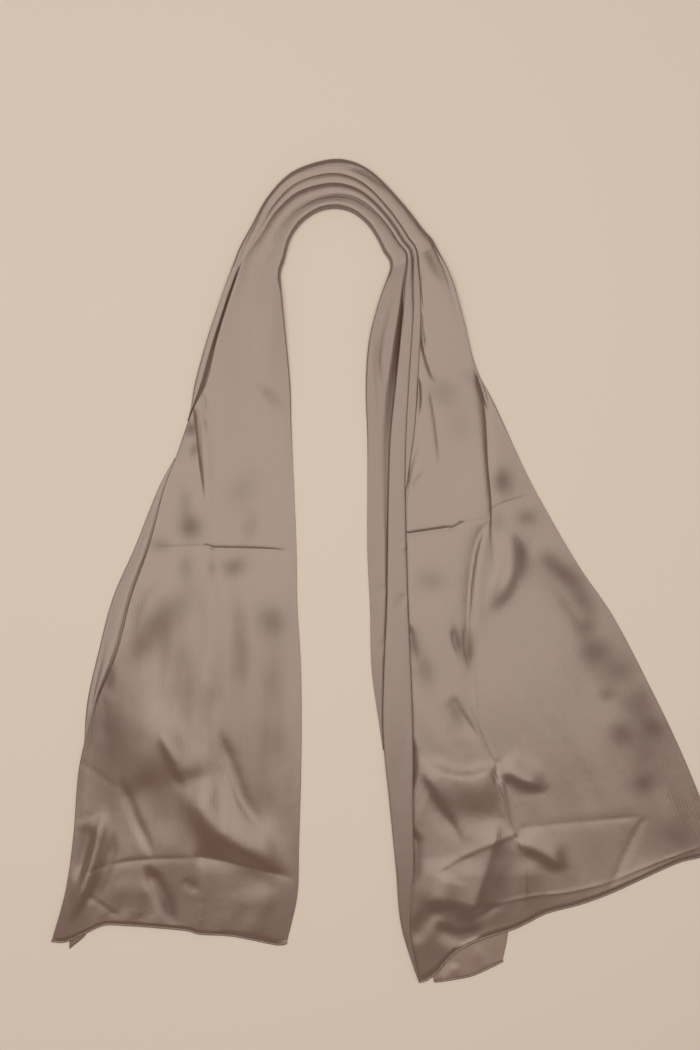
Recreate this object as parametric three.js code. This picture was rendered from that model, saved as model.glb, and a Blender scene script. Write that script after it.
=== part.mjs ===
// A long satin stole laid flat on a table in an upside-down U: two tails that flare towards their hems,
// and a gathered neck that joins them. Every stretch of the cloth that shows is a thin solid of its own.
// Millimetres, +Z up, +Y towards the neck, +X towards the right tail. The underside rests on z = 0.

import * as THREE from "three";

// Driving dimensions
const WALL = 1.6; // wall of a panel that shows
const UNDER_WALL = 1.2; // wall of a layer that lies under a panel
const GAP = 0.3; // between neighbouring pieces
const PLAY = 0.6 * GAP; // what each piece gives up of the gap beside it
const THINNEST_WALL = 1; // under a valley
const THICKEST_WALL = 3; // above this the underside rises with the fold
const EDGE = 1.5; // width of the rounding along every edge
const EDGE_SHARE = 0.45; // height of an edge, as a share of the height beside it
const HEM_WIDTH = 4; // rolled hem, across
const HEM_HEIGHT = 2.2; // rolled hem, up from what it lies on
const ON_LAYER = UNDER_WALL + GAP; // underside of a panel over a hidden layer
const NECK_HEIGHT = 11.5; // gathered neck
const NECK_PLEATS = 6; // pleats across the gathered neck
const NECK_RIDGE = 1.1; // height of a neck pleat above and below the middle
const FOLD_STEP = 2.2; // edge of the right tail's folded half above the half below it
const CREASE_WIDTH = 3; // half width of a pressed crease
const HEM_REACH = 1; // sections over which the panel bends to the hem's own curve
const HEM_EASE = 1.5; // the higher, the later that bend

const ROLL_CROWN = 1.4; // how far the left roll's middle stands above its sides
const ROLL_LIFT = 1.2; // the roll above a single wall
const STRIP_CROWN = 0.6; // the same two for the right tail's inner strip and its pleats
const PLEAT_CROWN = 1.5;
const SMALL_PLEAT_CROWN = 1.1;
const PLEAT_LIFT = 0.8;
const BESIDE_RISE = 0.8; // rise of the stretches at a tail's side, as a share of the panel's
const NECK_EDGE = 0.4; // height of the gather's sides, as a share of its middle
const NECK_WANDER = 0.35; // how far a pleat of the gather strays sideways, in pleats
const NECK_TURN = 0.9; // how fast it strays, in radians a section
const NECK_STEP = 40; // usual distance between two sections of the neck
const TAIL_STEP = 60; // the same in the tails

// Numbers of the sections at which the narrow stretches end
const ROLL_END = 3.9;
const SMALL_PLEAT_END = 4.7;
const STRIP_END = 9.1;
const PLEAT_END = 12.7;

const LAVENDER_TAUPE = 0xa8968a; // the doubled and gathered satin
const ROSE_TAUPE = 0x9c877b; // single layers and hems

// Turns rows of values into rows with the named columns
const named = (columns, row) => Object.fromEntries(columns.map((name, i) => [name, row[i]]));
const table = (columns, rows) => rows.map((row) => named(columns, row));

// Sections across the left tail, from the gather down to the hem. outer is the outline, edge the inner
// border of the roll and of the under layer beside it, inner the edge by the gap between the tails.
// rise is how far the gathered layers lift the cloth there.
const LEFT_SECTIONS = table(["outer", "edge", "inner", "rise"], [
  [[-175, 362], [-167, 358], [-123, 336], 9],
  [[-191, 317], [-182, 314], [-120, 302], 7],
  [[-208, 267], [-197, 266], [-116, 261], 4.6],
  [[-222, 217], [-209, 217], [-112, 215], 2.4],
  [[-228, 183], [-226, 183], [-111, 175], 1.2],
  [[-242, 140], [-241, 139], [-109, 123], 0.6],
  [[-265, 94], [-258, 94], [-107, 76], 0.2],
  [[-291, 29], [-275, 29], [-105, 24], 0],
  [[-317, -31], [-296, -31], [-104, -39], 0],
  [[-333, -91], [-312, -93], [-100, -108], 0],
  [[-347, -155], [-336, -155], [-99, -178], 0],
  [[-355, -224], [-355, -224], [-100, -247], 0],
  [[-362, -305], [-362, -305], [-102, -316], 0],
  [[-371, -368], [-371, -368], [-104, -374], 0],
  [[-387, -428], [-387, -428], [-116, -431], 0],
]);

// The layer folded under the left tail's outer half: it shows as a strip along the outline, and its
// corner shows below the hem. The rest lies under the panel.
const LEFT_UNDER_SECTIONS = table(["outer", "inner"], [
  [[-246, 130], [-230, 126]],
  [[-265, 94], [-226, 90]],
  [[-291, 29], [-226, 25]],
  [[-317, -31], [-226, -35]],
  [[-333, -91], [-226, -95]],
  [[-347, -155], [-226, -155]],
  [[-351, -224], [-226, -224]],
  [[-357, -305], [-226, -305]],
  [[-365, -368], [-226, -360]],
  [[-367, -437], [-226, -398]],
]);
const LEFT_UNDER_HEM = [[-367, -437], [-349, -422], [-335, -404], [-280, -398], [-226, -398]];

// Sections across the right tail. inner is the edge by the gap, pleatIn and pleatOut border the long
// pleat that lies on top, tuck borders the short pleat beside it, fold is where the folded half meets
// the half below it and then the pressed middle crease, outer is the outline.
const RIGHT_SECTIONS = table(["inner", "pleatIn", "pleatOut", "tuck", "fold", "outer", "rise"], [
  [[2, 345], [22, 355.5], [29, 359.2], [35, 362.4], [53, 371.9], [57, 374], 9],
  [[-12, 304], [20, 319], [30, 323], [38, 327], [71, 335], [75, 336], 7],
  [[-22, 261], [16, 270], [28, 274], [38, 277], [85, 286], [89, 287], 4.8],
  [[-25, 209], [10, 212], [24, 215], [35, 219], [99, 234], [102, 236], 2.8],
  [[-23, 151], [4, 153], [21, 157], [31, 160], [112, 187], [124, 192], 1.4],
  [[-23, 88], [2, 90], [20, 94], [22, 95], [116, 124], [151, 133], 0.7],
  [[-23, 24], [1, 27], [21, 35], [21, 35], [120, 65], [174, 87], 0.2],
  [[-20, -45], [0, -43], [23, -36], [23, -36], [114, -9], [219, 9], 0],
  [[-18, -114], [-3, -112], [26, -105], [26, -105], [102, -91], [261, -53], 0],
  [[-8, -187], [-4, -189], [29, -189], [29, -189], [107, -182], [303, -133], 0],
  [[3, -264], [3, -264], [29, -270], [29, -270], [130, -258], [337, -204], 0],
  [[11, -345], [11, -345], [30, -348], [30, -348], [151, -326], [361, -261], 0],
  [[17, -409], [17, -409], [26, -412], [26, -412], [158, -371], [375, -296], 0],
  [[37, -475], [37, -475], [37, -475], [37, -475], [162, -406], [387, -323], 0],
]);

// The corner of the lower layer that shows under the right tail's curved hem.
const UNDER_FLAP_SECTIONS = table(["outer", "inner"], [
  [[36, -372], [141, -368]],
  [[34, -400], [140, -396]],
  [[41, -430], [139, -420]],
  [[54, -475], [134, -451]],
]);
const UNDER_FLAP_HEM = [[54, -475], [65, -474], [77, -472], [97, -468], [116, -460], [134, -451]];

// The hems' outer edges, as the tails lie
const LEFT_HEM = [
  [-387, -428], [-371, -428], [-350, -419], [-327, -409], [-304, -409], [-274, -411], [-232, -415],
  [-217, -419], [-180, -422], [-158, -426], [-128, -432], [-116, -431],
];
const RIGHT_HEM = [
  [37, -475], [46, -472], [58, -463], [71, -448], [84, -437], [107, -426], [144, -414], [162, -406],
  [186, -395], [224, -385], [257, -373], [290, -358], [334, -338], [361, -331], [387, -323],
];

// Sections round the gathered neck, from the left tail over the top to the right tail
const NECK_SECTIONS = table(["outer", "inner"], [
  [[-175, 362], [-123, 336]],
  [[-156, 400], [-118, 360]],
  [[-138, 432], [-111, 384]],
  [[-112, 459], [-97, 403]],
  [[-80, 472], [-78, 415]],
  [[-49, 474.5], [-58, 418]],
  [[-18, 461], [-38, 412]],
  [[15, 428], [-20, 396]],
  [[42, 394], [-6, 371]],
  [[57, 374], [2, 345]],
]);

// The largest folds as they run over each tail: three points of a curve, half width, and height above
// the cloth, below zero for a valley. Pressed creases follow the sections instead.
const LEFT_FOLDS = table(["from", "via", "to", "width", "height"], [
  [[-226, 200], [-219, 128], [-206, 30], 13, 1.6],
  [[-196, -190], [-184, -245], [-148, -296], 13, 1.7],
  [[-239, -248], [-199, -302], [-135, -340], 15, -0.8],
  [[-266, -180], [-247, -216], [-226, -264], 12, 1.5],
  [[-303, -272], [-284, -339], [-250, -400], 13, 1.5],
  [[-352, -366], [-334, -386], [-308, -402], 12, 1.5],
  [[-220, 0], [-222, -200], [-218, -410], 13, 0.8],
  [[-170, -20], [-166, -90], [-160, -170], 16, 0.7],
]);
const RIGHT_FOLDS = table(["from", "via", "to", "width", "height"], [
  [[44, 330], [52, 225], [61, 128], 12, 1.3],
  [[62, 350], [78, 300], [88, 240], 12, 1.2],
  [[122, 70], [106, 0], [107, -110], 14, 2.2],
  [[104, 45], [88, -10], [90, -105], 12, -0.6],
  [[127, -225], [142, -299], [158, -380], 13, 1.4],
  [[165, 60], [246, -56], [345, -300], 20, -0.6],
  [[150, -305], [113, -363], [76, -412], 14, -0.6],
  [[172, -312], [134, -370], [98, -420], 13, 1.3],
  [[61, -337], [153, -305], [293, -281], 13, 1.2],
  [[296, -285], [280, -328], [257, -368], 13, 1.5],
  [[40, -205], [90, -232], [140, -232], 14, 1.1],
]);

// Where the two panels are lifted over the layers folded under them: the whole lift before the first
// of each pair of places, and none after the second
const LEFT_LIFT = { x: [-216, -190], y: [150, 176] };
const RIGHT_LIFT = { x: [152, 188], y: [-352, -328] };

// Sections between which the solid gathered cloth becomes a thin wall
const WALL_STARTS = [3.5, 5];
// Sections between which the right tail's folded edge rises above the half below it, and lies down again
const FOLD_RISES = [3, 3.6];
const FOLD_FALLS = [5.8, 6.6];
const FOLD_CURL = [0.72, 0.95]; // places across the folded half between which it rises to that edge

const { lerp, clamp, smoothstep } = THREE.MathUtils;
const rising = ([low, high], x) => smoothstep(x, low, high);
const falling = (range, x) => 1 - rising(range, x);
const flat = (x, y) => new THREE.Vector3(x, y, 0);
const curve = (points) => new THREE.CatmullRomCurve3(points.map(([x, y]) => flat(x, y)), false, "catmullrom");

// One curve of the named column through all sections. Its parameter is the section's number.
function rail(sections, column) {
  const line = curve(sections.map((section) => section[column]));
  return (t) => line.getPoint(t / (sections.length - 1));
}

// A column of plain numbers, read between the sections
function between(sections, column, t) {
  const low = Math.min(Math.floor(t), sections.length - 2);
  return lerp(sections[low][column], sections[low + 1][column], t - low);
}

const FOLD_STEPS = 14; // points along a fold's curve
const FOLD_END = 0.35; // height of a fold at its ends, as a share

// Height of all folds in a table at one point: a rounded ridge along each curve that fades at its ends
function foldField(folds) {
  const lines = folds.map(({ from, via, to, width, height }) => {
    const path = new THREE.QuadraticBezierCurve3(flat(...from), flat(...via), flat(...to));
    return { points: path.getPoints(FOLD_STEPS), width, height };
  });
  return (x, y) => {
    let total = 0;
    for (const { points, width, height } of lines) {
      let nearest = Infinity;
      let along = 0;
      points.forEach((point, index) => {
        const distance = Math.hypot(point.x - x, point.y - y);
        if (distance < nearest) [nearest, along] = [distance, index / (points.length - 1)];
      });
      const taper = Math.min(1, FOLD_END + 4 * along * (1 - along));
      total += height * taper * Math.exp(-((nearest / width) ** 2));
    }
    return total;
  };
}

// A closed solid from a grid of points that each hold x, y, the underside and the top
function solidFromGrid(name, color, grid) {
  const rows = grid.length;
  const columns = grid[0].length;
  const positions = [];
  for (const side of ["top", "bottom"]) {
    for (const row of grid) for (const point of row) positions.push(point.x, point.y, point[side]);
  }
  const top = (i, j) => i * columns + j;
  const bottom = (i, j) => rows * columns + i * columns + j;
  const faces = [];
  const quad = (a, b, c, d) => faces.push(a, b, c, a, c, d);
  for (let i = 0; i < rows - 1; i++) {
    for (let j = 0; j < columns - 1; j++) {
      quad(top(i, j), top(i + 1, j), top(i + 1, j + 1), top(i, j + 1));
      quad(bottom(i, j), bottom(i, j + 1), bottom(i + 1, j + 1), bottom(i + 1, j));
    }
    quad(top(i, 0), bottom(i, 0), bottom(i + 1, 0), top(i + 1, 0));
    quad(top(i + 1, columns - 1), bottom(i + 1, columns - 1), bottom(i, columns - 1), top(i, columns - 1));
  }
  for (let j = 0; j < columns - 1; j++) {
    quad(top(0, j + 1), bottom(0, j + 1), bottom(0, j), top(0, j));
    quad(top(rows - 1, j), bottom(rows - 1, j), bottom(rows - 1, j + 1), top(rows - 1, j + 1));
  }
  const geometry = new THREE.BufferGeometry();
  geometry.setAttribute("position", new THREE.Float32BufferAttribute(positions, 3));
  geometry.setIndex(faces);
  geometry.computeVertexNormals();
  const material = new THREE.MeshStandardMaterial({ color, roughness: 0.45, metalness: 0 });
  const mesh = new THREE.Mesh(geometry, material);
  mesh.name = name;
  return mesh;
}

const CREASE_ROOM = 2.5; // no even row lies nearer to a crease than this many half widths of it
const WIDEST_EDGE = 0.3; // share of a narrow stretch that the rounding of one edge may take

// Row numbers from first to last, evenly spaced, with three close rows at each pressed crease
function rowNumbers(first, last, count, creases = []) {
  const even = Array.from({ length: count + 1 }, (_, i) => lerp(first, last, i / count));
  const isClear = (t) => creases.every((c) => Math.abs(c.at - t) > CREASE_ROOM * c.spread);
  const clear = even.filter((t) => isClear(t) || t === last);
  const pressed = creases.flatMap((c) => [c.at - c.spread, c.at, c.at + c.spread]);
  return [...clear, ...pressed].sort((a, b) => a - b);
}

// Places across a stretch, from 0 to 1: one at each edge, one EDGE inside it, and the rest even
function placesAcross(width, count) {
  const edge = Math.min(EDGE / width, WIDEST_EDGE);
  const inside = Array.from({ length: count }, (_, i) => lerp(edge, 1 - edge, i / (count - 1)));
  return [0, ...inside, 1];
}

// The points of one row, from the first rail over those between to the last
function rowAcross(rails, counts, t) {
  const ends = rails.map((line) => line(t));
  const lastGap = rails.length - 2;
  return counts.flatMap((count, k) => {
    const across = ends[k + 1].clone().sub(ends[k]);
    const play = PLAY / across.length();
    const places = placesAcross(across.length(), count).slice(k === 0 ? 0 : 1);
    return places.map((place) => {
      const share = lerp(k === 0 ? play : 0, k === lastGap ? 1 - play : 1, place);
      const point = ends[k].clone().addScaledVector(across, share);
      const isEdge = (k === 0 && place === 0) || (k === lastGap && place === 1);
      return { x: point.x, y: point.y, t, section: k, share, isEdge };
    });
  });
}

// A stretch of cloth between rails. profile gives the underside and top at a point of a row, from its
// x and y, its section number t, and the gap between rails and the share of it where the point lies.
// hem, if given, is the curve that the last row follows.
function stretch({ name, color, rails, counts, rows, profile, hem, roundFirst = false }) {
  const last = rows[rows.length - 1];
  const placed = rows.map((t) => rowAcross(rails, counts, t));
  if (hem) bendToHem(placed, rows, hem);
  return solidFromGrid(name, color, placed.map((row, i) => row.map((point) => {
    const { bottom, top } = profile(point);
    const rounded = point.isEdge || point.t === last || (roundFirst && i === 0);
    const share = rounded ? EDGE_SHARE : 1;
    return { x: point.x, y: point.y, bottom, top: bottom + (top - bottom) * share };
  })));
}

// Where the points of a row lie along it, as shares of its length
function sharesAlong(row) {
  const distances = [0];
  for (let j = 1; j < row.length; j++) {
    distances.push(distances[j - 1] + Math.hypot(row[j].x - row[j - 1].x, row[j].y - row[j - 1].y));
  }
  return distances.map((distance) => distance / distances[row.length - 1]);
}

// Moves the last rows so that the end of the cloth follows the hem's curve
function bendToHem(placed, rows, hem) {
  const last = rows[rows.length - 1];
  const end = placed[placed.length - 1];
  const shifts = sharesAlong(end).map((share, j) => {
    const target = hem(share);
    return [target.x - end[j].x, target.y - end[j].y];
  });
  placed.forEach((row, i) => {
    const weight = rising([last - HEM_REACH, last], rows[i]) ** HEM_EASE;
    row.forEach((point, j) => {
      point.x += shifts[j][0] * weight;
      point.y += shifts[j][1] * weight;
    });
  });
}

// A point of a hem's curve, moved into the cloth: the hems run with the cloth on their left
function insideHem(points, inward) {
  const line = curve(points);
  return (share) => {
    const along = line.getTangentAt(share);
    return line.getPointAt(share).add(flat(-along.y * inward, along.x * inward));
  };
}

const HEM_PROFILE = table(["across", "height"], [
  [0, EDGE_SHARE],
  [0.15, 0.85],
  [0.5, 1],
  [0.85, 0.85],
  [1, EDGE_SHARE],
]);

// The rolled hem along the end of a tail: a low bead that lies on whatever the cloth beside it lies on,
// with its points opposite those of the cloth's last row
function rolledHem(name, points, { rails, counts, rows }, base) {
  const lines = HEM_PROFILE.map(({ across }) => insideHem(points, HEM_WIDTH * across));
  const shares = sharesAlong(rowAcross(rails, counts, rows[rows.length - 1]));
  const grid = shares.map((along) => lines.map((line, j) => {
    const point = line(along);
    const bottom = base(point.x, point.y);
    return { x: point.x, y: point.y, bottom, top: bottom + HEM_HEIGHT * HEM_PROFILE[j].height };
  }));
  return solidFromGrid(name, ROSE_TAUPE, grid);
}

// Undersides: a panel is lifted over the layer that is folded under it
const leftBase = (x, y) => ON_LAYER * falling(LEFT_LIFT.x, x) * falling(LEFT_LIFT.y, y);
const rightBase = (x, y) => ON_LAYER * falling(RIGHT_LIFT.x, x) * falling(RIGHT_LIFT.y, y);
const leftFolds = foldField(LEFT_FOLDS);
const rightFolds = foldField(RIGHT_FOLDS);

// Wall of a panel: thick down to the table near the gather, and a thin wall that follows its folds
// from there on
function panelWall(base, rise, folds, gathered) {
  const top = base + Math.max(WALL + rise + folds, THINNEST_WALL);
  const hollow = Math.max(base, top - THICKEST_WALL);
  return { bottom: hollow * (1 - gathered), top };
}

// A crease lifts its own row alone, and the close rows beside it stay down
function creaseHeight(t, creases) {
  const crease = creases.find((one) => one.at === t);
  return crease ? crease.height : 0;
}

// spread is the crease's half width as a share of the distance between two sections
const LEFT_CREASES = [
  { at: 7.05, spread: CREASE_WIDTH / TAIL_STEP, height: 1.3 },
  { at: 12.55, spread: CREASE_WIDTH / TAIL_STEP, height: 0.9 },
];
const RIGHT_CREASES = [{ at: 5.93, spread: CREASE_WIDTH / TAIL_STEP, height: 1.4 }];

// Neighbouring stretches share these rows, so their facing edges stay parallel
const LEFT_ROWS = rowNumbers(0, 14, 34, LEFT_CREASES);
const RIGHT_ROWS = rowNumbers(0, 13, 34, RIGHT_CREASES);
const rowsTo = (rows, last) => rows.filter((t) => t <= last);

const LEFT_PANEL = {
  rails: [rail(LEFT_SECTIONS, "edge"), rail(LEFT_SECTIONS, "inner")],
  counts: [17],
  rows: LEFT_ROWS,
};

function leftPanel() {
  return stretch({
    name: "left_panel",
    color: LAVENDER_TAUPE,
    ...LEFT_PANEL,
    hem: insideHem(LEFT_HEM, HEM_WIDTH + GAP),
    profile: ({ x, y, t }) => {
      const rise = between(LEFT_SECTIONS, "rise", t);
      const folds = leftFolds(x, y) + creaseHeight(t, LEFT_CREASES);
      return panelWall(leftBase(x, y), rise, folds, falling(WALL_STARTS, t));
    },
  });
}

function leftOuterRoll() {
  return stretch({
    name: "left_outer_roll",
    color: LAVENDER_TAUPE,
    rails: [rail(LEFT_SECTIONS, "outer"), rail(LEFT_SECTIONS, "edge")],
    counts: [3],
    rows: rowsTo(LEFT_ROWS, ROLL_END),
    profile: ({ share, t }) => {
      const round = ROLL_CROWN * Math.sin(Math.PI * share);
      return { bottom: 0, top: WALL + ROLL_LIFT + round + between(LEFT_SECTIONS, "rise", t) * BESIDE_RISE };
    },
  });
}

function leftUnderLayer() {
  return stretch({
    name: "left_under_layer",
    color: ROSE_TAUPE,
    rails: [rail(LEFT_UNDER_SECTIONS, "outer"), rail(LEFT_UNDER_SECTIONS, "inner")],
    counts: [6],
    rows: rowNumbers(0, 9, 24),
    hem: insideHem(LEFT_UNDER_HEM, 0),
    profile: () => ({ bottom: 0, top: UNDER_WALL }),
    roundFirst: true,
  });
}

function rightInnerStrip() {
  return stretch({
    name: "right_inner_strip",
    color: LAVENDER_TAUPE,
    rails: [rail(RIGHT_SECTIONS, "inner"), rail(RIGHT_SECTIONS, "pleatIn")],
    counts: [4],
    rows: rowsTo(RIGHT_ROWS, STRIP_END),
    profile: ({ share, t }) => {
      const round = STRIP_CROWN * Math.sin(Math.PI * share);
      return { bottom: 0, top: WALL + round + between(RIGHT_SECTIONS, "rise", t) * BESIDE_RISE };
    },
  });
}

// A folded pleat: its hidden layers share one rounded solid with the layer that shows
function pleat(name, inner, outer, rows, crown) {
  return stretch({
    name,
    color: LAVENDER_TAUPE,
    rails: [rail(RIGHT_SECTIONS, inner), rail(RIGHT_SECTIONS, outer)],
    counts: [4],
    rows,
    profile: ({ share, t }) => {
      const round = crown * Math.sqrt(Math.sin(Math.PI * clamp(share, 0.08, 0.92)));
      return { bottom: 0, top: WALL + PLEAT_LIFT + round + between(RIGHT_SECTIONS, "rise", t) };
    },
  });
}

const RIGHT_PANEL = {
  rails: ["tuck", "fold", "outer"].map((column) => rail(RIGHT_SECTIONS, column)),
  counts: [10, 12],
  rows: RIGHT_ROWS,
};

function rightPanel() {
  const edgeFold = (section, share, t) => {
    const strength = FOLD_STEP * rising(FOLD_RISES, t) * falling(FOLD_FALLS, t);
    return section === 0 ? strength * rising(FOLD_CURL, share) : 0;
  };
  return stretch({
    name: "right_panel",
    color: LAVENDER_TAUPE,
    ...RIGHT_PANEL,
    hem: insideHem(RIGHT_HEM, HEM_WIDTH + GAP),
    profile: ({ x, y, section, share, t }) => {
      const rise = between(RIGHT_SECTIONS, "rise", t);
      const folds = rightFolds(x, y) + creaseHeight(t, RIGHT_CREASES) + edgeFold(section, share, t);
      return panelWall(rightBase(x, y), rise, folds, falling(WALL_STARTS, t));
    },
  });
}

const UNDER_FLAP = {
  rails: [rail(UNDER_FLAP_SECTIONS, "outer"), rail(UNDER_FLAP_SECTIONS, "inner")],
  counts: [10],
  rows: rowNumbers(0, 3, 8),
};

function rightUnderFlap() {
  return stretch({
    name: "right_under_flap",
    color: ROSE_TAUPE,
    ...UNDER_FLAP,
    hem: insideHem(UNDER_FLAP_HEM, HEM_WIDTH + GAP),
    profile: () => ({ bottom: 0, top: UNDER_WALL }),
    roundFirst: true,
  });
}

// The gathered neck: a rounded bundle whose top is drawn into pleats that wander as they go round
function neckGather() {
  const ends = NECK_SECTIONS.length - 1;
  const clearance = 1.6 * GAP / NECK_STEP; // parts the neck from the tails, whose edges lie aslant
  return stretch({
    name: "neck_gather",
    color: LAVENDER_TAUPE,
    rails: [rail(NECK_SECTIONS, "inner"), rail(NECK_SECTIONS, "outer")],
    counts: [19],
    rows: rowNumbers(clearance, ends - clearance, 26),
    profile: ({ share, t }) => {
      const bulge = Math.max(NECK_EDGE, Math.sqrt(1 - (2 * share - 1) ** 4));
      const wander = NECK_WANDER * Math.sin(t * NECK_TURN);
      const ridges = NECK_RIDGE * Math.cos(2 * Math.PI * (NECK_PLEATS * share + wander));
      return { bottom: 0, top: NECK_HEIGHT * bulge + ridges * bulge };
    },
  });
}

const group = new THREE.Group();
group.name = "stole";
group.add(
  neckGather(),
  leftOuterRoll(),
  leftPanel(),
  leftUnderLayer(),
  rolledHem("left_hem", LEFT_HEM, LEFT_PANEL, leftBase),
  rightInnerStrip(),
  pleat("right_pleat", "pleatIn", "pleatOut", rowsTo(RIGHT_ROWS, PLEAT_END), PLEAT_CROWN),
  pleat("right_small_pleat", "pleatOut", "tuck", rowsTo(RIGHT_ROWS, SMALL_PLEAT_END), SMALL_PLEAT_CROWN),
  rightPanel(),
  rolledHem("right_hem", RIGHT_HEM, RIGHT_PANEL, rightBase),
  rightUnderFlap(),
  rolledHem("right_flap_hem", UNDER_FLAP_HEM, UNDER_FLAP, () => 0),
);

export default group;
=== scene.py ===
import bpy
import numpy as np
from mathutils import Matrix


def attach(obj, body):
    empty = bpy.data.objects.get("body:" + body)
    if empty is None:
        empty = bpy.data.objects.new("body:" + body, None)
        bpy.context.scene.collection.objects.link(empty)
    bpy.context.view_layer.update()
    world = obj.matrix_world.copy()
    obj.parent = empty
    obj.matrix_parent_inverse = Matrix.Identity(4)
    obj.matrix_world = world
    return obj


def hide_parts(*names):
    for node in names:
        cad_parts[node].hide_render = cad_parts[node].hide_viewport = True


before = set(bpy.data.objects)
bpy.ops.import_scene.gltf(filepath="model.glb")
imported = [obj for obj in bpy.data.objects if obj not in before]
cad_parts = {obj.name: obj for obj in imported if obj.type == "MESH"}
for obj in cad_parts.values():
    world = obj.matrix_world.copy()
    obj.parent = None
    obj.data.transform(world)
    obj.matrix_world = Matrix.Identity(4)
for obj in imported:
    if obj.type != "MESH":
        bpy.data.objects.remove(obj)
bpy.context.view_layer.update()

scene = bpy.context.scene


# Left tail. The one rectangular panel of polyester satin, woven with a fine lengthwise rib, runs down
# from the gather to its hem. Its outer edge is folded over and lies on the layers below, and a crease
# pressed at a quarter of the stole's length runs across it.

MM = 0.001
SATIN = 0.4  # mm, the cloth and the air held between its folds
LOFT = 2.6  # mm, top of loosely laid cloth above what it lies on
UNDER_LAYER = 1.5  # mm, room for the layer folded under a tail
LEFT_UNDER_ENDS = (-216, -190)  # mm in x, over which that room ends below the left tail
LEFT_UNDER_BEGINS = (150, 176)  # mm in y, over which it begins
FLOAT = 0.25  # mm, lowest that the cloth's top may come above what it lies on
FLOAT_TURN = 0.3  # square mm, softness of the turn to that height
GATHER_HEIGHT = 10.6  # mm, crown of the gathered neck
GATHER_ENDS = 3.0  # sections from the neck over which the gather opens out
EDGE_TURN = 1.2  # mm, radius of the last turn of a long edge
EDGE_FALL = 40.0  # mm, over which flat cloth comes down to its long edge
EDGE_REACH = 6.0  # mm, past the edge, where that fall would end
EDGE_SHARE = 0.35  # share of its height that the cloth would keep there
EDGE_OPENS = (2.2, 5.4)  # sections over which a high gathered edge becomes a flat one
CRISP_EDGE = 1.3  # mm, radius of a folded edge that lies on top
WANDER = 0.8  # share of the full wandering of the folds
CREASE_WANDER = 0.1  # the same for the creases, which run nearly straight
CREASE_POWER = 1.2  # power of a crease's profile, which has a sharper crest than a fold's 2
HEM_WIDTH = 3.0  # mm
FIRST_ROW = 0.003  # sections from the end of a piece at the gather to its second row of points
SEAM_HEIGHT = 1.5  # mm, top of the panel where its hem is sewn down
SEAM_FLAT = 1.0  # mm, that it stays so
SEAM_REACH = 5.0  # mm, over which it comes down to that
HEM_REACH = 1.0  # sections over which the cloth bends to the hem's own curve


def table(columns, *rows, **usual):
    """The rows as a dictionary with one list for each named column. A row may leave out its last
    columns where they have their usual values."""
    names = columns.split()
    full = [(*row, *(usual[name] for name in names[len(row):])) for row in rows]
    return {name: [row[i] for row in full] for i, name in enumerate(names)}


# Sections across the tail from the gather to the hem, in mm: the outline, the folded edge that lies on
# the layers below, the edge by the gap between the tails, and how far the gathered layers lift the cloth
LEFT = table(
    "outer edge inner rise",
    ((-175, 362), (-167, 358), (-123, 336), 7.0),
    ((-191, 317), (-182, 314), (-120, 302), 5.6),
    ((-208, 267), (-197, 266), (-116, 261), 3.6),
    ((-222, 217), (-209, 217), (-112, 215), 2.0),
    ((-228, 183), (-226, 183), (-111, 175), 1.0),
    ((-242, 140), (-241, 139), (-109, 123), 0.5),
    ((-265, 94), (-258, 94), (-107, 76), 0.2),
    ((-291, 29), (-275, 29), (-105, 24), 0.0),
    ((-317, -31), (-296, -31), (-104, -39), 0.0),
    ((-333, -91), (-312, -93), (-100, -108), 0.0),
    ((-347, -155), (-336, -155), (-99, -178), 0.0),
    ((-355, -224), (-355, -224), (-100, -247), 0.0),
    ((-362, -305), (-362, -305), (-102, -316), 0.0),
    ((-371, -368), (-371, -368), (-104, -374), 0.0),
    ((-387, -428), (-387, -428), (-116, -431), 0.0),
)
LEFT_HEM = [
    (-387, -428), (-371, -428), (-350, -419), (-327, -409), (-304, -409), (-274, -411), (-232, -415),
    (-217, -419), (-180, -422), (-158, -426), (-128, -432), (-116, -431),
]

# Every fold as three places on its crest, in mm, its width on the left and the right of the way from
# the first to the last, its height, and the shares of its length over which its two ends fade
FOLD = "start middle end left right height fade_in fade_out"
FADES = {"fade_in": 0.3, "fade_out": 0.3}
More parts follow.
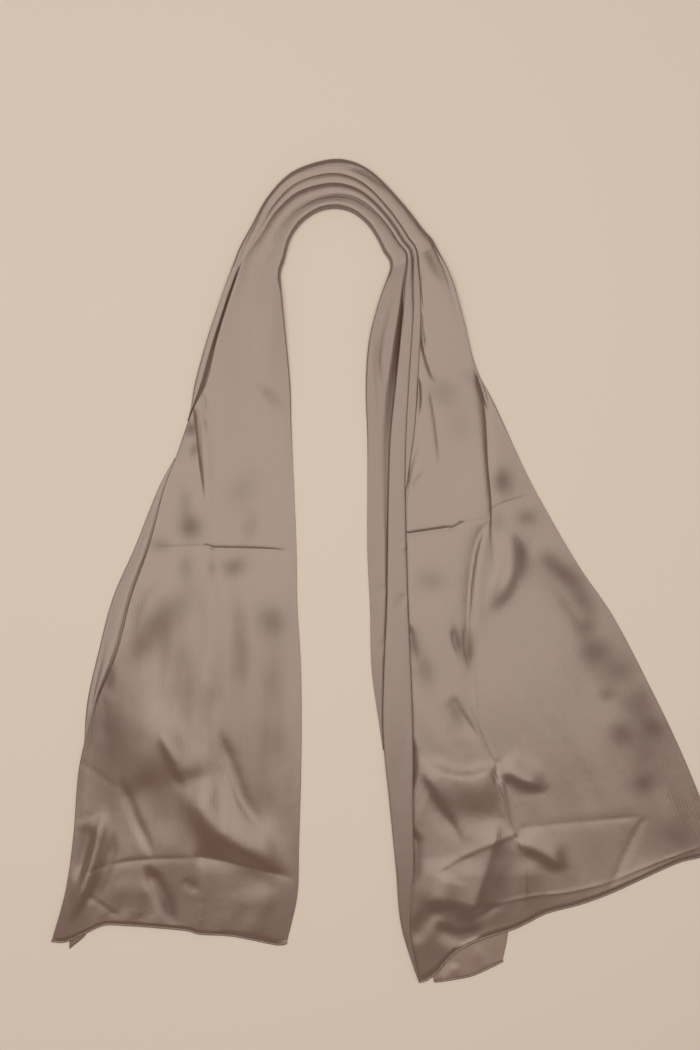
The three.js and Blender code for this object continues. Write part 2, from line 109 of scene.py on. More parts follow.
# Spots of painted shade, dark blotches where folds turn the sheen away: the middle, half widths
# across and along, the lean from the way down the cloth in degrees, and the strength
SPOT = "place across along lean strength"
LEFT_FOLDS = table(
    FOLD,
    # lengthwise ridges and hollows that run down from the gather
    ((-156, 387), (-154, 307), (-144, 192), 13, 10, 2, 0.3, 0.4),
    ((-145, 209), (-134, 193), (-122, 165), 8, 8, -1),
    ((-159, 278), (-164, 198), (-167, 128), 12, 12, 0.7, 0.4, 0.4),
    ((-140, 119), (-156, 98), (-177, 75), 10, 10, -0.9),
    ((-157, 73), (-162, 52), (-167, 29), 7, 7, -0.8),
    # the ridge that the roll turns into
    ((-217, 198), (-211, 140), (-199, 59), 7, 5, 1, 0.3, 0.4),
    # ridges below the pressed crease, with a hollow beside each
    ((-201, 17), (-202, -80), (-209, -181), 15, 13, 2.2),
    ((-244, 6), (-249, -91), (-256, -174), 13, 14, 1.5),
    ((-169, -33), (-170, -91), (-175, -155), 8, 9, -1.2),
    # the bulge beside the folded edge
    ((-249, -1), (-272, -47), (-299, -87), 17, 13, 2.6, 0.3, 0.5),
    ((-323, -137), (-325, -170), (-330, -204), 9, 10, -1.4),
    # the broad slope and the sharp folds of the lower half
    ((-339, -119), (-283, -181), (-209, -248), 30, 50, 6.6, 0.3, 0.45),
    ((-297, -236), (-267, -271), (-249, -318), 20, 18, -1.4),
    ((-265, -174), (-249, -209), (-229, -257), 20, 7, 3),
    ((-193, -177), (-175, -241), (-140, -308), 9, 6, -2.5),
    ((-246, -239), (-184, -299), (-108, -361), 26, 20, 7.6, 0.3, 0.35),
    ((-311, -232), (-290, -282), (-272, -334), 7, 5, -2),
    ((-282, -336), (-265, -372), (-242, -410), 8, 6, -3.2),
    ((-325, -267), (-340, -331), (-366, -409), 8, 9, 3.6),
    ((-342, -290), (-351, -320), (-360, -357), 7, 10, -2),
    ((-313, -299), (-325, -345), (-343, -382), 7, 6, -1.8),
    ((-228, -190), (-212, -227), (-200, -264), 10, 12, 1.2),
    # pinches and small folds along the hem
    ((-193, -410), (-156, -419), (-105, -426), 32, 7, 0.9),
    ((-350, -368), (-343, -375), (-336, -381), 6.5, 6.5, -0.7),
    ((-239, -354), (-229, -361), (-216, -367), 6.5, 5.9, -0.7),
    ((-184, -374), (-156, -379), (-119, -373), 14, 16, 0.7),
    ((-313, -357), (-293, -368), (-267, -366), 14, 14, 0.6),
    **FADES,
)
# Painted shade on the left tail: dark blotches where its folds turn the sheen away
LEFT_SHADE_SPOTS = table(
    SPOT,
    ((-230, 166), 8, 8, 0, 0.8),
    ((-224, 143), 6, 10, -15, 0.6),
    ((-228, 54), 15, 13, 0, 0.85),
    ((-183, 278), 16, 70, 8, 0.1),
    ((-127, 261), 12, 60, 0, 0.18),
    ((-138, 200), 7, 18, 40, 0.35),
    ((-233, 79), 9, 16, 0, 0.35),
    ((-166, 91), 14, 26, -25, 0.25),
    ((-162, 47), 9, 16, -15, 0.3),
    ((-265, 32), 12, 9, 0, 0.45),
    ((-175, 7), 13, 11, 0, 0.65),
    ((-201, 6), 5, 12, 0, 0.4),
    ((-233, 6), 9, 18, 0, 0.4),
    ((-263, -66), 15, 50, -42, 0.65),
    ((-283, -87), 14, 12, 0, 0.2),
    ((-317, -118), 8, 16, 10, 0.95),
    ((-325, -189), 20, 52, 0, 0.5),
    ((-297, -143), 16, 26, 0, 0.3),
    ((-135, -61), 14, 19, 0, 0.65),
    ((-170, -97), 9, 52, 0, 0.5),
    ((-133, -128), 16, 36, 0, 0.4),
    ((-228, -137), 9, 36, 0, 0.35),
    ((-135, -201), 22, 26, 0, 0.3),
    ((-213, -225), 17, 12, 0, 0.15),
    ((-141, -264), 16, 26, 15, 0.3),
    ((-245, -97), 16, 24, 0, 0.3),
    ((-274, -190), 22, 16, 0, 0.3),
    ((-226, -358), 12, 9, 20, 0.7),
    ((-355, -313), 9, 18, -15, 0.7),
    ((-332, -361), 8, 22, -22, 0.7),
    ((-253, -389), 8, 18, 28, 0.9),
    ((-311, -197), 28, 56, 0, 0.4),
    ((-256, -271), 30, 36, 30, 0.3),
    ((-179, -363), 17, 10, 0, 0.35),
    ((-145, -389), 24, 16, 0, 0.25),
)
LEFT_CREASES = table(
    FOLD,
    # the line where the panel lies on the cloth beside it, below the roll
    ((-226, 198), (-219, 138), (-207, 52), 2, 9, -1.8, 0.2, 0.4),
    ((-213, 207), (-211, 184), (-205, 154), 4, 3, -1.3, 0.2, 0.4),
    # the crease pressed at a quarter of the length
    ((-274, 28), (-239, 29), (-206, 30), 1.8, 5, -0.5, 0.3, 0.1),
    ((-211, 31), (-205, 29), (-199, 26), 1.8, 3, -1, 0.2, 0.2),
    ((-206, 27), (-161, 26), (-101, 23), 2.2, 6, -1.2, 0.12, 0.2),
    # creases of the last folding, near the hem
    ((-350, -349), (-297, -334), (-219, -330), 2.5, 4, -0.6, 0.2, 0.12),
    ((-226, -329), (-177, -336), (-101, -357), 13, 9, -2.1, 0.15, 0.15),
    ((-216, -331), (-214, -368), (-216, -419), 2, 2, 0.5, 0.15, 0.15),
    ((-360, -214), (-334, -233), (-302, -255), 2, 2.5, -0.5, 0.2, 0.3),
    ((-369, -291), (-341, -281), (-311, -277), 2, 2.5, -0.4, 0.2, 0.3),
    ((-348, -373), (-330, -383), (-306, -401), 1.8, 4, -0.6, 0.15, 0.2),
)


def smooth(low, high, x):
    """0 below low, 1 above high, and 3u^2 - 2u^3 of the share u between them."""
    u = np.clip((x - low) / (high - low), 0, 1)
    return u * u * (3 - 2 * u)


def through(points, t):
    """The curve through one point of each section, at section numbers t: on each span a cubic whose
    slope at a point is half the step between its two neighbours."""
    p = np.asarray(points, float)
    p = np.vstack([2 * p[0] - p[1], p, 2 * p[-1] - p[-2]])
    t = np.asarray(t, float)
    k = np.clip(np.floor(t).astype(int), 0, len(p) - 4)
    u = (t - k)[..., None]
    a, b, c, d = p[k], p[k + 1], p[k + 2], p[k + 3]
    return b + u * ((c - a) / 2 + u * (a - 2.5 * b + 2 * c - d / 2 + u * (1.5 * (b - c) + (d - a) / 2)))


def crowded(first, last, count, places=()):
    """count numbers from first to last at equal steps of a density: 1 and, for each (place, width,
    extra) of places, extra times a bell of that width there."""
    fine = np.linspace(first, last, 6001)
    density = np.ones_like(fine)
    for place, width, extra in places:
        density += extra * np.exp(-(((fine - place) / width) ** 2))
    total = np.concatenate([[0], np.cumsum((density[1:] + density[:-1]) / 2)])
    return np.interp(np.linspace(0, total[-1], count), total, fine)


def from_gather(last, count, places=()):
    """Sections of the rows of a piece that begins at the gather. The second row is close to the first,
    so that the end of the cloth's wall doesn't shade its top."""
    rows = crowded(0, last, count, places)
    rows[1] = FIRST_ROW
    return rows


def travelled(line):
    """Way covered along a line of points up to each of them."""
    return np.concatenate([[0], np.cumsum(np.hypot(*np.diff(line, axis=0).T))])


def by_length(points, shares, inward=0.0):
    """Points at shares of a curve's length, moved inward mm to the left of its way."""
    fine = through(points, np.linspace(0, len(points) - 1, 1201))
    total = travelled(fine)
    way = np.gradient(fine, axis=0)
    way /= np.hypot(way[:, 0], way[:, 1])[:, None]
    place, way = (
        np.stack([np.interp(shares, total / total[-1], column) for column in values.T], -1)
        for values in (fine, way)
    )
    return place + inward * np.stack([-way[:, 1], way[:, 0]], -1)


def hemmed(xy, t, hem, inward=HEM_WIDTH / 2):
    """The grid with its last rows slid until the end of the cloth follows its hem's curve."""
    way = travelled(xy[-1])
    shift = by_length(hem, way / way[-1], inward) - xy[-1]
    return xy + smooth(t[-1] - HEM_REACH, t[-1], t)[:, None, None] ** 1.5 * shift


def laid(side_a, side_b, t, s):
    """Grid of places, a row for each t and a column for each share s, on straight lines between two
    edge curves."""
    a, b = through(side_a, t), through(side_b, t)
    return a[:, None] + (b - a)[:, None] * s[None, :, None]


def width_of(side_a, side_b, t):
    """Width between two edge curves at each row."""
    return np.hypot(*(through(side_b, t) - through(side_a, t)).T)[:, None]


def along_rows(t, side):
    """Way covered along an edge curve down to each row."""
    return travelled(through(side, t))[:, None]


def weave_of(across, along):
    """Weave coordinates: the way across the cloth, and the way along it."""
    return np.dstack([across, np.broadcast_to(along, across.shape)])


def wandered(x, y, share):
    """Places moved by up to 5 mm along slow waves, so that no fold runs quite straight."""
    east = 2.4 * np.sin(x / 17 + 1.2 * np.sin(y / 31)) + 2.2 * np.sin(y / 21 + 0.8 * np.sin(x / 43) + 2.1)
    north = 2.4 * np.sin(y / 19 + 1.1 * np.sin(x / 29) + 0.7) + 2 * np.sin(x / 24 + 0.9 * np.sin(y / 37) + 4)
    return x + share * east, y + share * north


CREST_STEPS = 14  # straight steps that stand for a fold's crest
FADED_WIDTH = 0.55  # share of its width that a fold has where it has faded out


def fold_height(xy, folds, wander=WANDER, power=2.0):
    """Height of all folds of a table. Each crest is the parabola through its three places. At a
    distance d from it and a share a along it, a fold adds height * fade(a) * exp(-(d / width)^power),
    with the width of the side where the place lies, which narrows as the fold fades."""
    x, y = wandered(xy[..., 0], xy[..., 1], wander)
    height = np.zeros_like(x)
    for i in range(len(folds["start"])):
        start, middle, end = (np.array(folds[k][i], float) for k in ("start", "middle", "end"))
        reach = 3 * max(folds["left"][i], folds["right"][i])
        low = np.minimum(np.minimum(start, middle), end) - reach
        high = np.maximum(np.maximum(start, middle), end) + reach
        near = (x > low[0]) & (x < high[0]) & (y > low[1]) & (y < high[1])
        near_x, near_y = x[near], y[near]
        u = np.linspace(0, 1, CREST_STEPS + 1)[:, None]
        crest = start * (1 - u) * (1 - 2 * u) + middle * 4 * u * (1 - u) + end * u * (2 * u - 1)
        best = np.full(near_x.shape, np.inf)
        side = np.zeros_like(near_x)
        along = np.zeros_like(near_x)
        for j in range(CREST_STEPS):
            step = crest[j + 1] - crest[j]
            px, py = near_x - crest[j, 0], near_y - crest[j, 1]
            w = np.clip((px * step[0] + py * step[1]) / (step @ step), 0, 1)
            distance = np.hypot(px - w * step[0], py - w * step[1])
            nearer = distance < best
            best = np.where(nearer, distance, best)
            side = np.where(nearer, step[0] * py - step[1] * px, side)
            along = np.where(nearer, (j + w) / CREST_STEPS, along)
        fade = smooth(0, folds["fade_in"][i], along) * smooth(0, folds["fade_out"][i], 1 - along)
        blend = side / np.maximum(best, 0.01) / max(np.hypot(*(end - start)), 1) * CREST_STEPS
        lean = smooth(-1, 1, blend)
        width = folds["right"][i] * (1 - lean) + folds["left"][i] * lean
        width = width * (FADED_WIDTH + (1 - FADED_WIDTH) * fade)
        height[near] += folds["height"][i] * fade * np.exp(-((best / width) ** power))
    return height


def slack(xy, strength):
    """Slow uneven waves that loosely laid cloth keeps: sines in four directions, bent by each other."""
    x, y = xy[..., 0], xy[..., 1]
    waves = np.sin(x / 23 + 0.9 * np.sin(y / 41) + 0.4) + np.sin(y / 27 + 0.8 * np.sin(x / 33) + 1.9)
    waves += 0.8 * np.sin((x + y) / 31 + 0.9 * np.sin((x - y) / 39)) + 0.6 * np.sin((x - 2 * y) / 35 + 2.6)
    return strength * waves

def streaks(across, along, strength):
    """Soft ridges that run along the cloth where it lies slack: sines across it, bent and broken by
    sines along it."""
    narrow = np.sin(across / 5.6 + 1.4 * np.sin(along / 47) + 0.6)
    narrow = narrow * (0.5 + 0.5 * np.sin(along / 61 + across / 23))
    wide = np.sin(across / 8.9 + 1.2 * np.sin(along / 63 + 1.1)) * np.sin(along / 83 + across / 37 + 2)
    return strength * (narrow + 0.8 * wide)


def painted_shade_of(xy, spots):
    """Painted shade at each place, dark blotches where folds turn the sheen away: for each spot its
    strength times exp(-(u / across)^2 - (v / along)^2) of the distances u and v from its middle, leaning
    lean degrees from the way down the cloth, with the outline made uneven by the slow waves."""
    x, y = wandered(xy[..., 0], xy[..., 1], 0.9)
    total = np.zeros_like(x)
    for place, across, along, lean, strength in zip(*(spots[k] for k in SPOT.split())):
        angle = np.radians(lean)
        px, py = x - place[0], y - place[1]
        u = px * np.cos(angle) + py * np.sin(angle)
        v = -px * np.sin(angle) + py * np.cos(angle)
        total += strength * np.exp(-((u / across) ** 2) - (v / along) ** 2)
    return np.clip(total, 0, 1)


def turned(distance, radius):
    """Share of its height that cloth has at a distance from a turned edge: a quarter circle."""
    return np.sqrt(1 - np.clip(1 - distance / radius, 0, 1) ** 2)


def edge_fall(distance, gathered_share):
    """Share of its height that cloth has at a distance from a long edge. Where it lies flat it comes
    down softly over EDGE_FALL, and where it is gathered it turns down over the last EDGE_TURN."""
    fall = EDGE_SHARE + (1 - EDGE_SHARE) * smooth(-EDGE_REACH, EDGE_FALL, distance)
    fall = fall + (1 - fall) * gathered_share
    return fall * (1 - gathered_share * (1 - turned(distance, EDGE_TURN)))


def near_gather(t):
    """1 at the gather, where the edges stay high, and 0 where the tail lies flat, for each row."""
    return (1 - smooth(*EDGE_OPENS, t))[:, None]


def lifted(height):
    """Height that never falls below FLOAT, with a soft turn: half of h + sqrt(h^2 + FLOAT_TURN) above
    it, for a height h above it."""
    return FLOAT + ((height - FLOAT) + np.sqrt((height - FLOAT) ** 2 + FLOAT_TURN)) / 2


# Pleats of the gather, each at five places from the left tail over the top to the right tail: its two
# edges as shares of the gather's width from the inner to the outer edge, and its height above the rest
PLEATS = table(
    "low high height",
    ((-0.30, -0.20, -0.15, -0.15, -0.10), (0.42, 0.33, 0.25, 0.31, 0.36), (0.6, 1.2, 1.7, 1.3, 0.8)),
    ((0.36, 0.29, 0.23, 0.30, 0.36), (0.84, 0.62, 0.50, 0.49, 0.49), (1.4, 1.9, 2.3, 2.6, 2.8)),
    ((0.72, 0.58, 0.47, 0.48, 0.49), (0.86, 0.79, 0.71, 0.64, 0.60), (0.2, 0.9, 1.5, 1.8, 2.0)),
    ((0.78, 0.73, 0.67, 0.62, 0.60), (0.95, 0.97, 1.00, 0.97, 0.93), (0.5, 1.4, 1.9, 1.8, 1.6)),
    ((0.86, 0.90, 0.93, 0.93, 0.92), (1.30, 1.30, 1.30, 1.30, 1.30), (1.8, 1.0, 0.6, 0.6, 0.5)),
)
NECK_ROUNDNESS = 18.0  # power of the arch, higher where it falls only close to its edges
TAIL_ROUNDNESS = 90.0  # the same where the gather has opened
ROUNDNESS_GROWS = 0.8  # sections from the neck over which it does
PLEAT_CROWN = 2.6  # mm, the part of the gather's height that its pleats make
# power of the sine across a pleat at the five places, lower for crisper edges
PLEAT_SHARPNESS = (1.3, 0.8, 0.55, 0.45, 0.4)


def gathered(share, way, roundness=NECK_ROUNDNESS):
    """Height of the gather at shares of its width and at the share way of its length: a flattened
    arch, and on it the highest of the pleats, each the power of the sine of the share across it."""
    way = np.broadcast_to(way, share.shape)
    station = 4 * np.clip(way, 0, 1)
    arch = (GATHER_HEIGHT - PLEAT_CROWN) * (1 - np.abs(2 * share - 1) ** roundness) ** 0.5
    power = through(np.array(PLEAT_SHARPNESS)[:, None], station)[..., 0]
    top = np.zeros_like(share)
    for low, high, height in zip(*(PLEATS[k] for k in ("low", "high", "height"))):
        low, high, height = (through(np.array(v)[:, None], station)[..., 0] for v in (low, high, height))
        across = np.clip((share - low) / (high - low), 0, 1)
        top = np.maximum(top, height * np.sin(np.pi * across) ** power)
    return arch + top


def opened(own, share, t, way):
    """Cloth of a tail near the neck: its own height, and the gather's at the gather's end."""
    weight = (1 - smooth(0, GATHER_ENDS, t)) ** 1.5
    roundness = NECK_ROUNDNESS + (TAIL_ROUNDNESS - NECK_ROUNDNESS) * smooth(0, ROUNDNESS_GROWS, t)[:, None]
    return own + (gathered(share, float(way), roundness) - own) * weight[:, None]


def to_seam(height, t, side):
    """Height of a tail that comes down over its last SEAM_REACH to the seam of its hem."""
    way = along_rows(t, side)
    return height + (SEAM_HEIGHT - height) * (1 - smooth(SEAM_FLAT, SEAM_REACH, way[-1] - way))


def between(values, t):
    """A column of numbers for each row, read straight between the sections."""
    return np.interp(t, np.arange(len(values)), values)[:, None]


def across_tail(xy, tail, t):
    """Share of a tail's whole width at each place, from the inner edge to the outer one."""
    a, b = through(tail["inner"], t)[:, None], through(tail["outer"], t)[:, None]
    way = b - a
    return np.clip(((xy - a) * way).sum(-1) / (way**2).sum(-1), 0, 1)


SLACK = (0.12, 0.2)  # mm, strength of the slow waves near the gather, and what they gain
SLACK_GROWS = (7, 11)  # sections over which they do
STREAKS_BEGIN = (6.6, 9)  # sections over which the streaks set in


def tail_height(xy, t, rise, folds, creases, across, along, streak):
    """Height of a tail's own cloth: loosely laid, lifted by the gathered layers below it, with its
    folds and creases, and with the slow waves and the streaks that grow towards the hem."""
    own = LOFT + between(rise, t) + fold_height(xy, folds)
    own = own + fold_height(xy, creases, CREASE_WANDER, CREASE_POWER)
    own = own + slack(xy, (SLACK[0] + SLACK[1] * smooth(*SLACK_GROWS, t))[:, None])
    return own + streaks(across, along, streak * smooth(*STREAKS_BEGIN, t)[:, None])


def add_node(tree, kind, settings=(), **links):
    """Adds one node. settings are its attributes or input values, and links feed its inputs, each from
    a socket or from a node's first output. An input's number follows # or i."""
    node = tree.nodes.new(kind)
    for name, value in dict(settings).items():
        if hasattr(node, name):
            setattr(node, name, value)
        else:
            node.inputs[int(name[1:]) if name[0] == "#" else name].default_value = value
    for name, source in links.items():
        socket = getattr(source, "outputs", [source])[0]
        tree.links.new(socket, node.inputs[int(name[1:]) if name[1:].isdigit() else name])
    return node


def srgb(code, alpha=1.0):
    """Linear colour of an sRGB hex value."""
    c = np.array([int(code[i : i + 2], 16) for i in (1, 3, 5)]) / 255
    return (*np.where(c <= 0.04045, c / 12.92, ((c + 0.055) / 1.055) ** 2.4), alpha)


RIB_PITCH = 3.9  # mm, between the woven ribs
THREAD_PITCH = 0.9  # mm, coarser than real threads so that it shows
THREAD_LENGTH = 22 * THREAD_PITCH  # mm
SATIN_BASE = "#685551"
SATIN_THIN_AND_SHADED = "#6B5149"  # at high tone: redder and a little darker, as painted shade towards the hem and as thin cloth at the edges
SATIN_PAINTED_SHADE = "#50332A"  # painted shade: darker and redder, for the blotches where folds turn the sheen away
PAINTED_SHADE_DULLS = 0.31  # what the painted shade mask adds to the roughness


def satin_material(name, base, toned, roughness):
    """Polyester satin, woven: its long floats give a soft broad sheen, ribs and threads run along it,
    and painted shade makes it browner and darker at its spots and streaks, where it is also duller."""
    material = bpy.data.materials.new(name)
    material.use_nodes = True
    tree = material.node_tree
    shader = tree.nodes["Principled BSDF"]
    weave = add_node(tree, "ShaderNodeUVMap", {"uv_map": "weave"})
    split = add_node(tree, "ShaderNodeSeparateXYZ", Vector=weave)
    # ribs: a sine across the cloth whose pitch wanders a little
    stretch = add_node(tree, "ShaderNodeMapping", {"Scale": (60.0, 6.0, 1.0)}, Vector=weave)
    wander = add_node(tree, "ShaderNodeTexNoise", {"Scale": 1.0, "Detail": 2.0}, Vector=stretch)
    turns = {"operation": "MULTIPLY_ADD", "#1": 2 * np.pi / (RIB_PITCH * MM)}
    phase = add_node(tree, "ShaderNodeMath", turns, i0=split, i2=wander)
    twist = add_node(tree, "ShaderNodeMath", {"operation": "MULTIPLY_ADD", "#1": 5.0}, i0=wander, i2=phase)
    rib = add_node(tree, "ShaderNodeMath", {"operation": "SINE"}, i0=twist)
    # slubs and threads: noise drawn out along the warp
    drawn_out = {"Scale": (1 / (THREAD_PITCH * MM), 1 / (THREAD_LENGTH * MM), 1.0)}
    warp = add_node(tree, "ShaderNodeMapping", drawn_out, Vector=weave)
    threads = add_node(tree, "ShaderNodeTexNoise", {"Scale": 1.0, "Detail": 3.0}, Vector=warp)
    # crinkles about 18 mm apart, and a soft mottle of about 70 mm
    wrinkled = {"Scale": 55.0, "Detail": 3.0, "Roughness": 0.55}
    crinkle = add_node(tree, "ShaderNodeTexNoise", wrinkled, Vector=weave)
    cloud = add_node(tree, "ShaderNodeTexNoise", {"Scale": 14.0, "Detail": 3.0}, Vector=weave)
    # colour: base to toned by the piece's own tone, which is partly painted shade towards the hem,
    # with the mottle, and with faint threads and ribs
    tone = add_node(tree, "ShaderNodeAttribute", {"attribute_name": "tone"}).outputs["Fac"]
    mottled = {"operation": "MULTIPLY_ADD", "#1": 0.55, "#2": -0.27}
    mottle = add_node(tree, "ShaderNodeMath", mottled, i0=cloud)
    shade = add_node(tree, "ShaderNodeMath", {"operation": "ADD", "use_clamp": True}, i0=tone, i1=mottle)
    from_base = {"data_type": "RGBA", "#6": srgb(base), "#7": srgb(toned)}
    colour = add_node(tree, "ShaderNodeMix", from_base, i0=shade)
    streaked = {"operation": "MULTIPLY_ADD", "#1": 0.16, "#2": 0.92}
    streak = add_node(tree, "ShaderNodeMath", streaked, i0=threads)
    ribbed = add_node(tree, "ShaderNodeMath", {"operation": "MULTIPLY_ADD", "#1": 0.025}, i0=rib, i2=streak)
    # painted shade: the piece's own spots, and streaks along the warp where its tone is high, which
    # turn the colour dark red-brown and the roughness duller
    painted_shade = add_node(tree, "ShaderNodeAttribute", {"attribute_name": "painted_shade"}).outputs["Fac"]
    drawn = add_node(tree, "ShaderNodeMapping", {"Scale": (26.0, 5.0, 1.0)}, Vector=weave)
    broken = {"Scale": 1.0, "Detail": 4.0, "Roughness": 0.6}
    streaky = add_node(tree, "ShaderNodeTexNoise", broken, Vector=drawn)
    uneven = add_node(tree, "ShaderNodeMath", {"operation": "SUBTRACT", "#1": 0.42}, i0=streaky)
    shade_streaks = add_node(tree, "ShaderNodeMath", {"operation": "MULTIPLY"}, i0=uneven, i1=tone)
    more_shade = {"operation": "MULTIPLY_ADD", "#1": 1.6, "use_clamp": True}
    shade_mask = add_node(tree, "ShaderNodeMath", more_shade, i0=shade_streaks, i2=painted_shade)
    duller = {"operation": "MULTIPLY_ADD", "#1": PAINTED_SHADE_DULLS, "#2": roughness}
    dull = add_node(tree, "ShaderNodeMath", duller, i0=shade_mask)
    darker = {"data_type": "RGBA", "#7": srgb(SATIN_PAINTED_SHADE)}
    dark = add_node(tree, "ShaderNodeMix", darker, i0=shade_mask, i6=colour.outputs[2])
    times = {"data_type": "RGBA", "blend_type": "MULTIPLY", "#0": 1.0}
    final = add_node(tree, "ShaderNodeMix", times, i6=dark.outputs[2], i7=ribbed)
    # relief: ribs, threads and fine crinkles
    fine = add_node(tree, "ShaderNodeMath", {"operation": "MULTIPLY_ADD", "#1": 0.5}, i0=threads, i2=crinkle)
    relief = add_node(tree, "ShaderNodeMath", {"operation": "MULTIPLY_ADD", "#1": 0.05}, i0=rib, i2=fine)
    bump = add_node(tree, "ShaderNodeBump", {"Strength": 0.5, "Distance": 0.5 * MM}, Height=relief)
    tree.links.new(dull.outputs[0], shader.inputs["Roughness"])
    tree.links.new(final.outputs[2], shader.inputs["Base Color"])
    tree.links.new(bump.outputs[0], shader.inputs["Normal"])
    shader.inputs["IOR"].default_value = 1.7
    shader.inputs["Specular IOR Level"].default_value = 1.0
    return material


satin = satin_material("polyester_satin_woven", SATIN_BASE, SATIN_THIN_AND_SHADED, 0.33)


def placed(name, data):
    """A new object with this data, at the origin."""
    piece = bpy.data.objects.new(name, data)
    scene.collection.objects.link(piece)
    return piece


def cloth(name, xy, z, weave, node, tone=0.0, painted_shade=0.0, material=satin, thick=SATIN):
    """A mesh from a grid of points in mm, one quad between each four, with its weave coordinates in
    metres, its tone and its painted shade, given a wall below by Solidify."""
    rows, columns = z.shape
    points = np.dstack([xy, z]).reshape(-1, 3)
    corner = np.arange(rows * columns).reshape(rows, columns)
    quads = np.stack([corner[:-1, :-1], corner[1:, :-1], corner[1:, 1:], corner[:-1, 1:]], -1).reshape(-1, 4)
    a, b, c = (points[quads[:, k]] for k in (0, 1, 2))
    if np.cross(b - a, c - a)[:, 2].sum() < 0:
        quads = quads[:, ::-1]
    mesh = bpy.data.meshes.new(name)
    mesh.from_pydata((points * MM).tolist(), [], quads.tolist())
    layer = mesh.uv_layers.new(name="weave")
    layer.data.foreach_set("uv", (weave.reshape(-1, 2) * MM)[quads.reshape(-1)].ravel().astype(np.float32))
    for label, values in (("tone", tone), ("painted_shade", painted_shade)):
        values = np.broadcast_to(values, z.shape).ravel().astype(np.float32)
        mesh.attributes.new(label, "FLOAT", "POINT").data.foreach_set("value", values)
    mesh.polygons.foreach_set("use_smooth", np.ones(len(quads), bool))
    mesh.materials.append(material)
    piece = placed(name, mesh)
    wall = piece.modifiers.new("wall", "SOLIDIFY")
    wall.thickness = thick * MM
    wall.offset = -1
    piece.modifiers.new("normals", "WEIGHTED_NORMAL").weight = 100
    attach(piece, "root")
    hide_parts(node)
    return piece


def left_base(xy):
    """Height of the layers below the outer part of the left tail."""
    x, y = xy[..., 0], xy[..., 1]
    return UNDER_LAYER * (1 - smooth(*LEFT_UNDER_ENDS, x)) * (1 - smooth(*LEFT_UNDER_BEGINS, y))


LEFT_ROWS = 350
LEFT_COLUMNS = 135
ROLL_ENDS_SOFTLY = (3.9, 0.5)  # section where the roll above ends and the folded edge is soft, and how far
EDGE_ON_TABLE = 0.5  # share of its height that the outer edge loses where no layer lies below it

# more rows at the pressed crease, at the lower folds and at the hem, more columns at both edges
left_t = from_gather(14, LEFT_ROWS, [(7.03, 0.16, 3.0), (12.6, 0.5, 0.8), (14, 0.06, 9)])
left_s = crowded(0, 1, LEFT_COLUMNS, [(0, 0.02, 6), (1, 0.03, 4)])
left_xy = hemmed(laid(LEFT["edge"], LEFT["inner"], left_t, left_s), left_t, LEFT_HEM)
left_width = width_of(LEFT["edge"], LEFT["inner"], left_t)
from_edge = left_s * left_width
from_inner = (1 - left_s) * left_width
left_along = along_rows(left_t, LEFT["inner"])
left_own = tail_height(
    left_xy, left_t, LEFT["rise"], LEFT_FOLDS, LEFT_CREASES, from_inner, left_along, streak=0.3
)
left_z = opened(left_own, across_tail(left_xy, LEFT, left_t), left_t, 0)
softly = 0.7 * np.exp(-(((left_t - ROLL_ENDS_SOFTLY[0]) / ROLL_ENDS_SOFTLY[1]) ** 2))
crisp = (smooth(0, 0.6, left_t) * (1 - softly))[:, None] * (1 - turned(from_edge + 0.15, CRISP_EDGE))
on_table = smooth(3.4, 4.2, left_t) * (1 - smooth(4.8, 5.8, left_t) * (1 - smooth(9.4, 11, left_t)))
left_z = left_z * (1 - EDGE_ON_TABLE * on_table[:, None] * (1 - smooth(-3, 12, from_edge)))
left_z = lifted(left_z * edge_fall(from_inner, near_gather(left_t)) * (1 - crisp))
left_z = to_seam(left_z, left_t, LEFT["inner"]) + left_base(left_xy)
# Its tone is painted shade towards the hem, redder and darker with dark streaks, and a redder thin edge by
# the gap; its spots are painted shade too.
left_tone = 0.75 * smooth(7, 12, left_t)[:, None] + 0.3 * (1 - smooth(2, 16, from_inner))
left_panel = cloth(
    "left_tail_cloth", left_xy, left_z, weave_of(from_inner, -left_along), "left_panel",
    left_tone, painted_shade_of(left_xy, LEFT_SHADE_SPOTS),
)


# Left under layer. The part of the same panel that is folded beneath the left tail: it shows as a
# rounded strip along the outline, and its corner shows below the hem.

LEFT_UNDER = table(
    "outer inner",
    ((-246, 130), (-230, 126)),
    ((-265, 94), (-226, 90)),
    ((-291, 29), (-226, 25)),
    ((-317, -31), (-226, -35)),
    ((-333, -91), (-226, -95)),
    ((-347, -155), (-226, -155)),
    ((-351, -224), (-226, -224)),
    ((-357, -305), (-226, -305)),
    ((-365, -368), (-226, -360)),
    ((-367, -437), (-226, -398)),
)
LEFT_UNDER_HEM = [(-367, -437), (-349, -422), (-335, -404), (-280, -398), (-226, -398)]
STRIP_FOOT = 0.5  # mm, height of the flat part below the tail
STRIP_HEIGHT = 2.9  # mm, crown of the rounded strip
STRIP_RISE = 18.0  # mm, over which it rises from the outline
STRIP_FALL = 5.0  # mm, over which it falls at the panel that lies on it
STRIP_ENDS = (4.9, 6.6)  # sections over which it flattens
STRIP_GROOVE = (6, 2)  # mm, place and width of the shallow groove along it

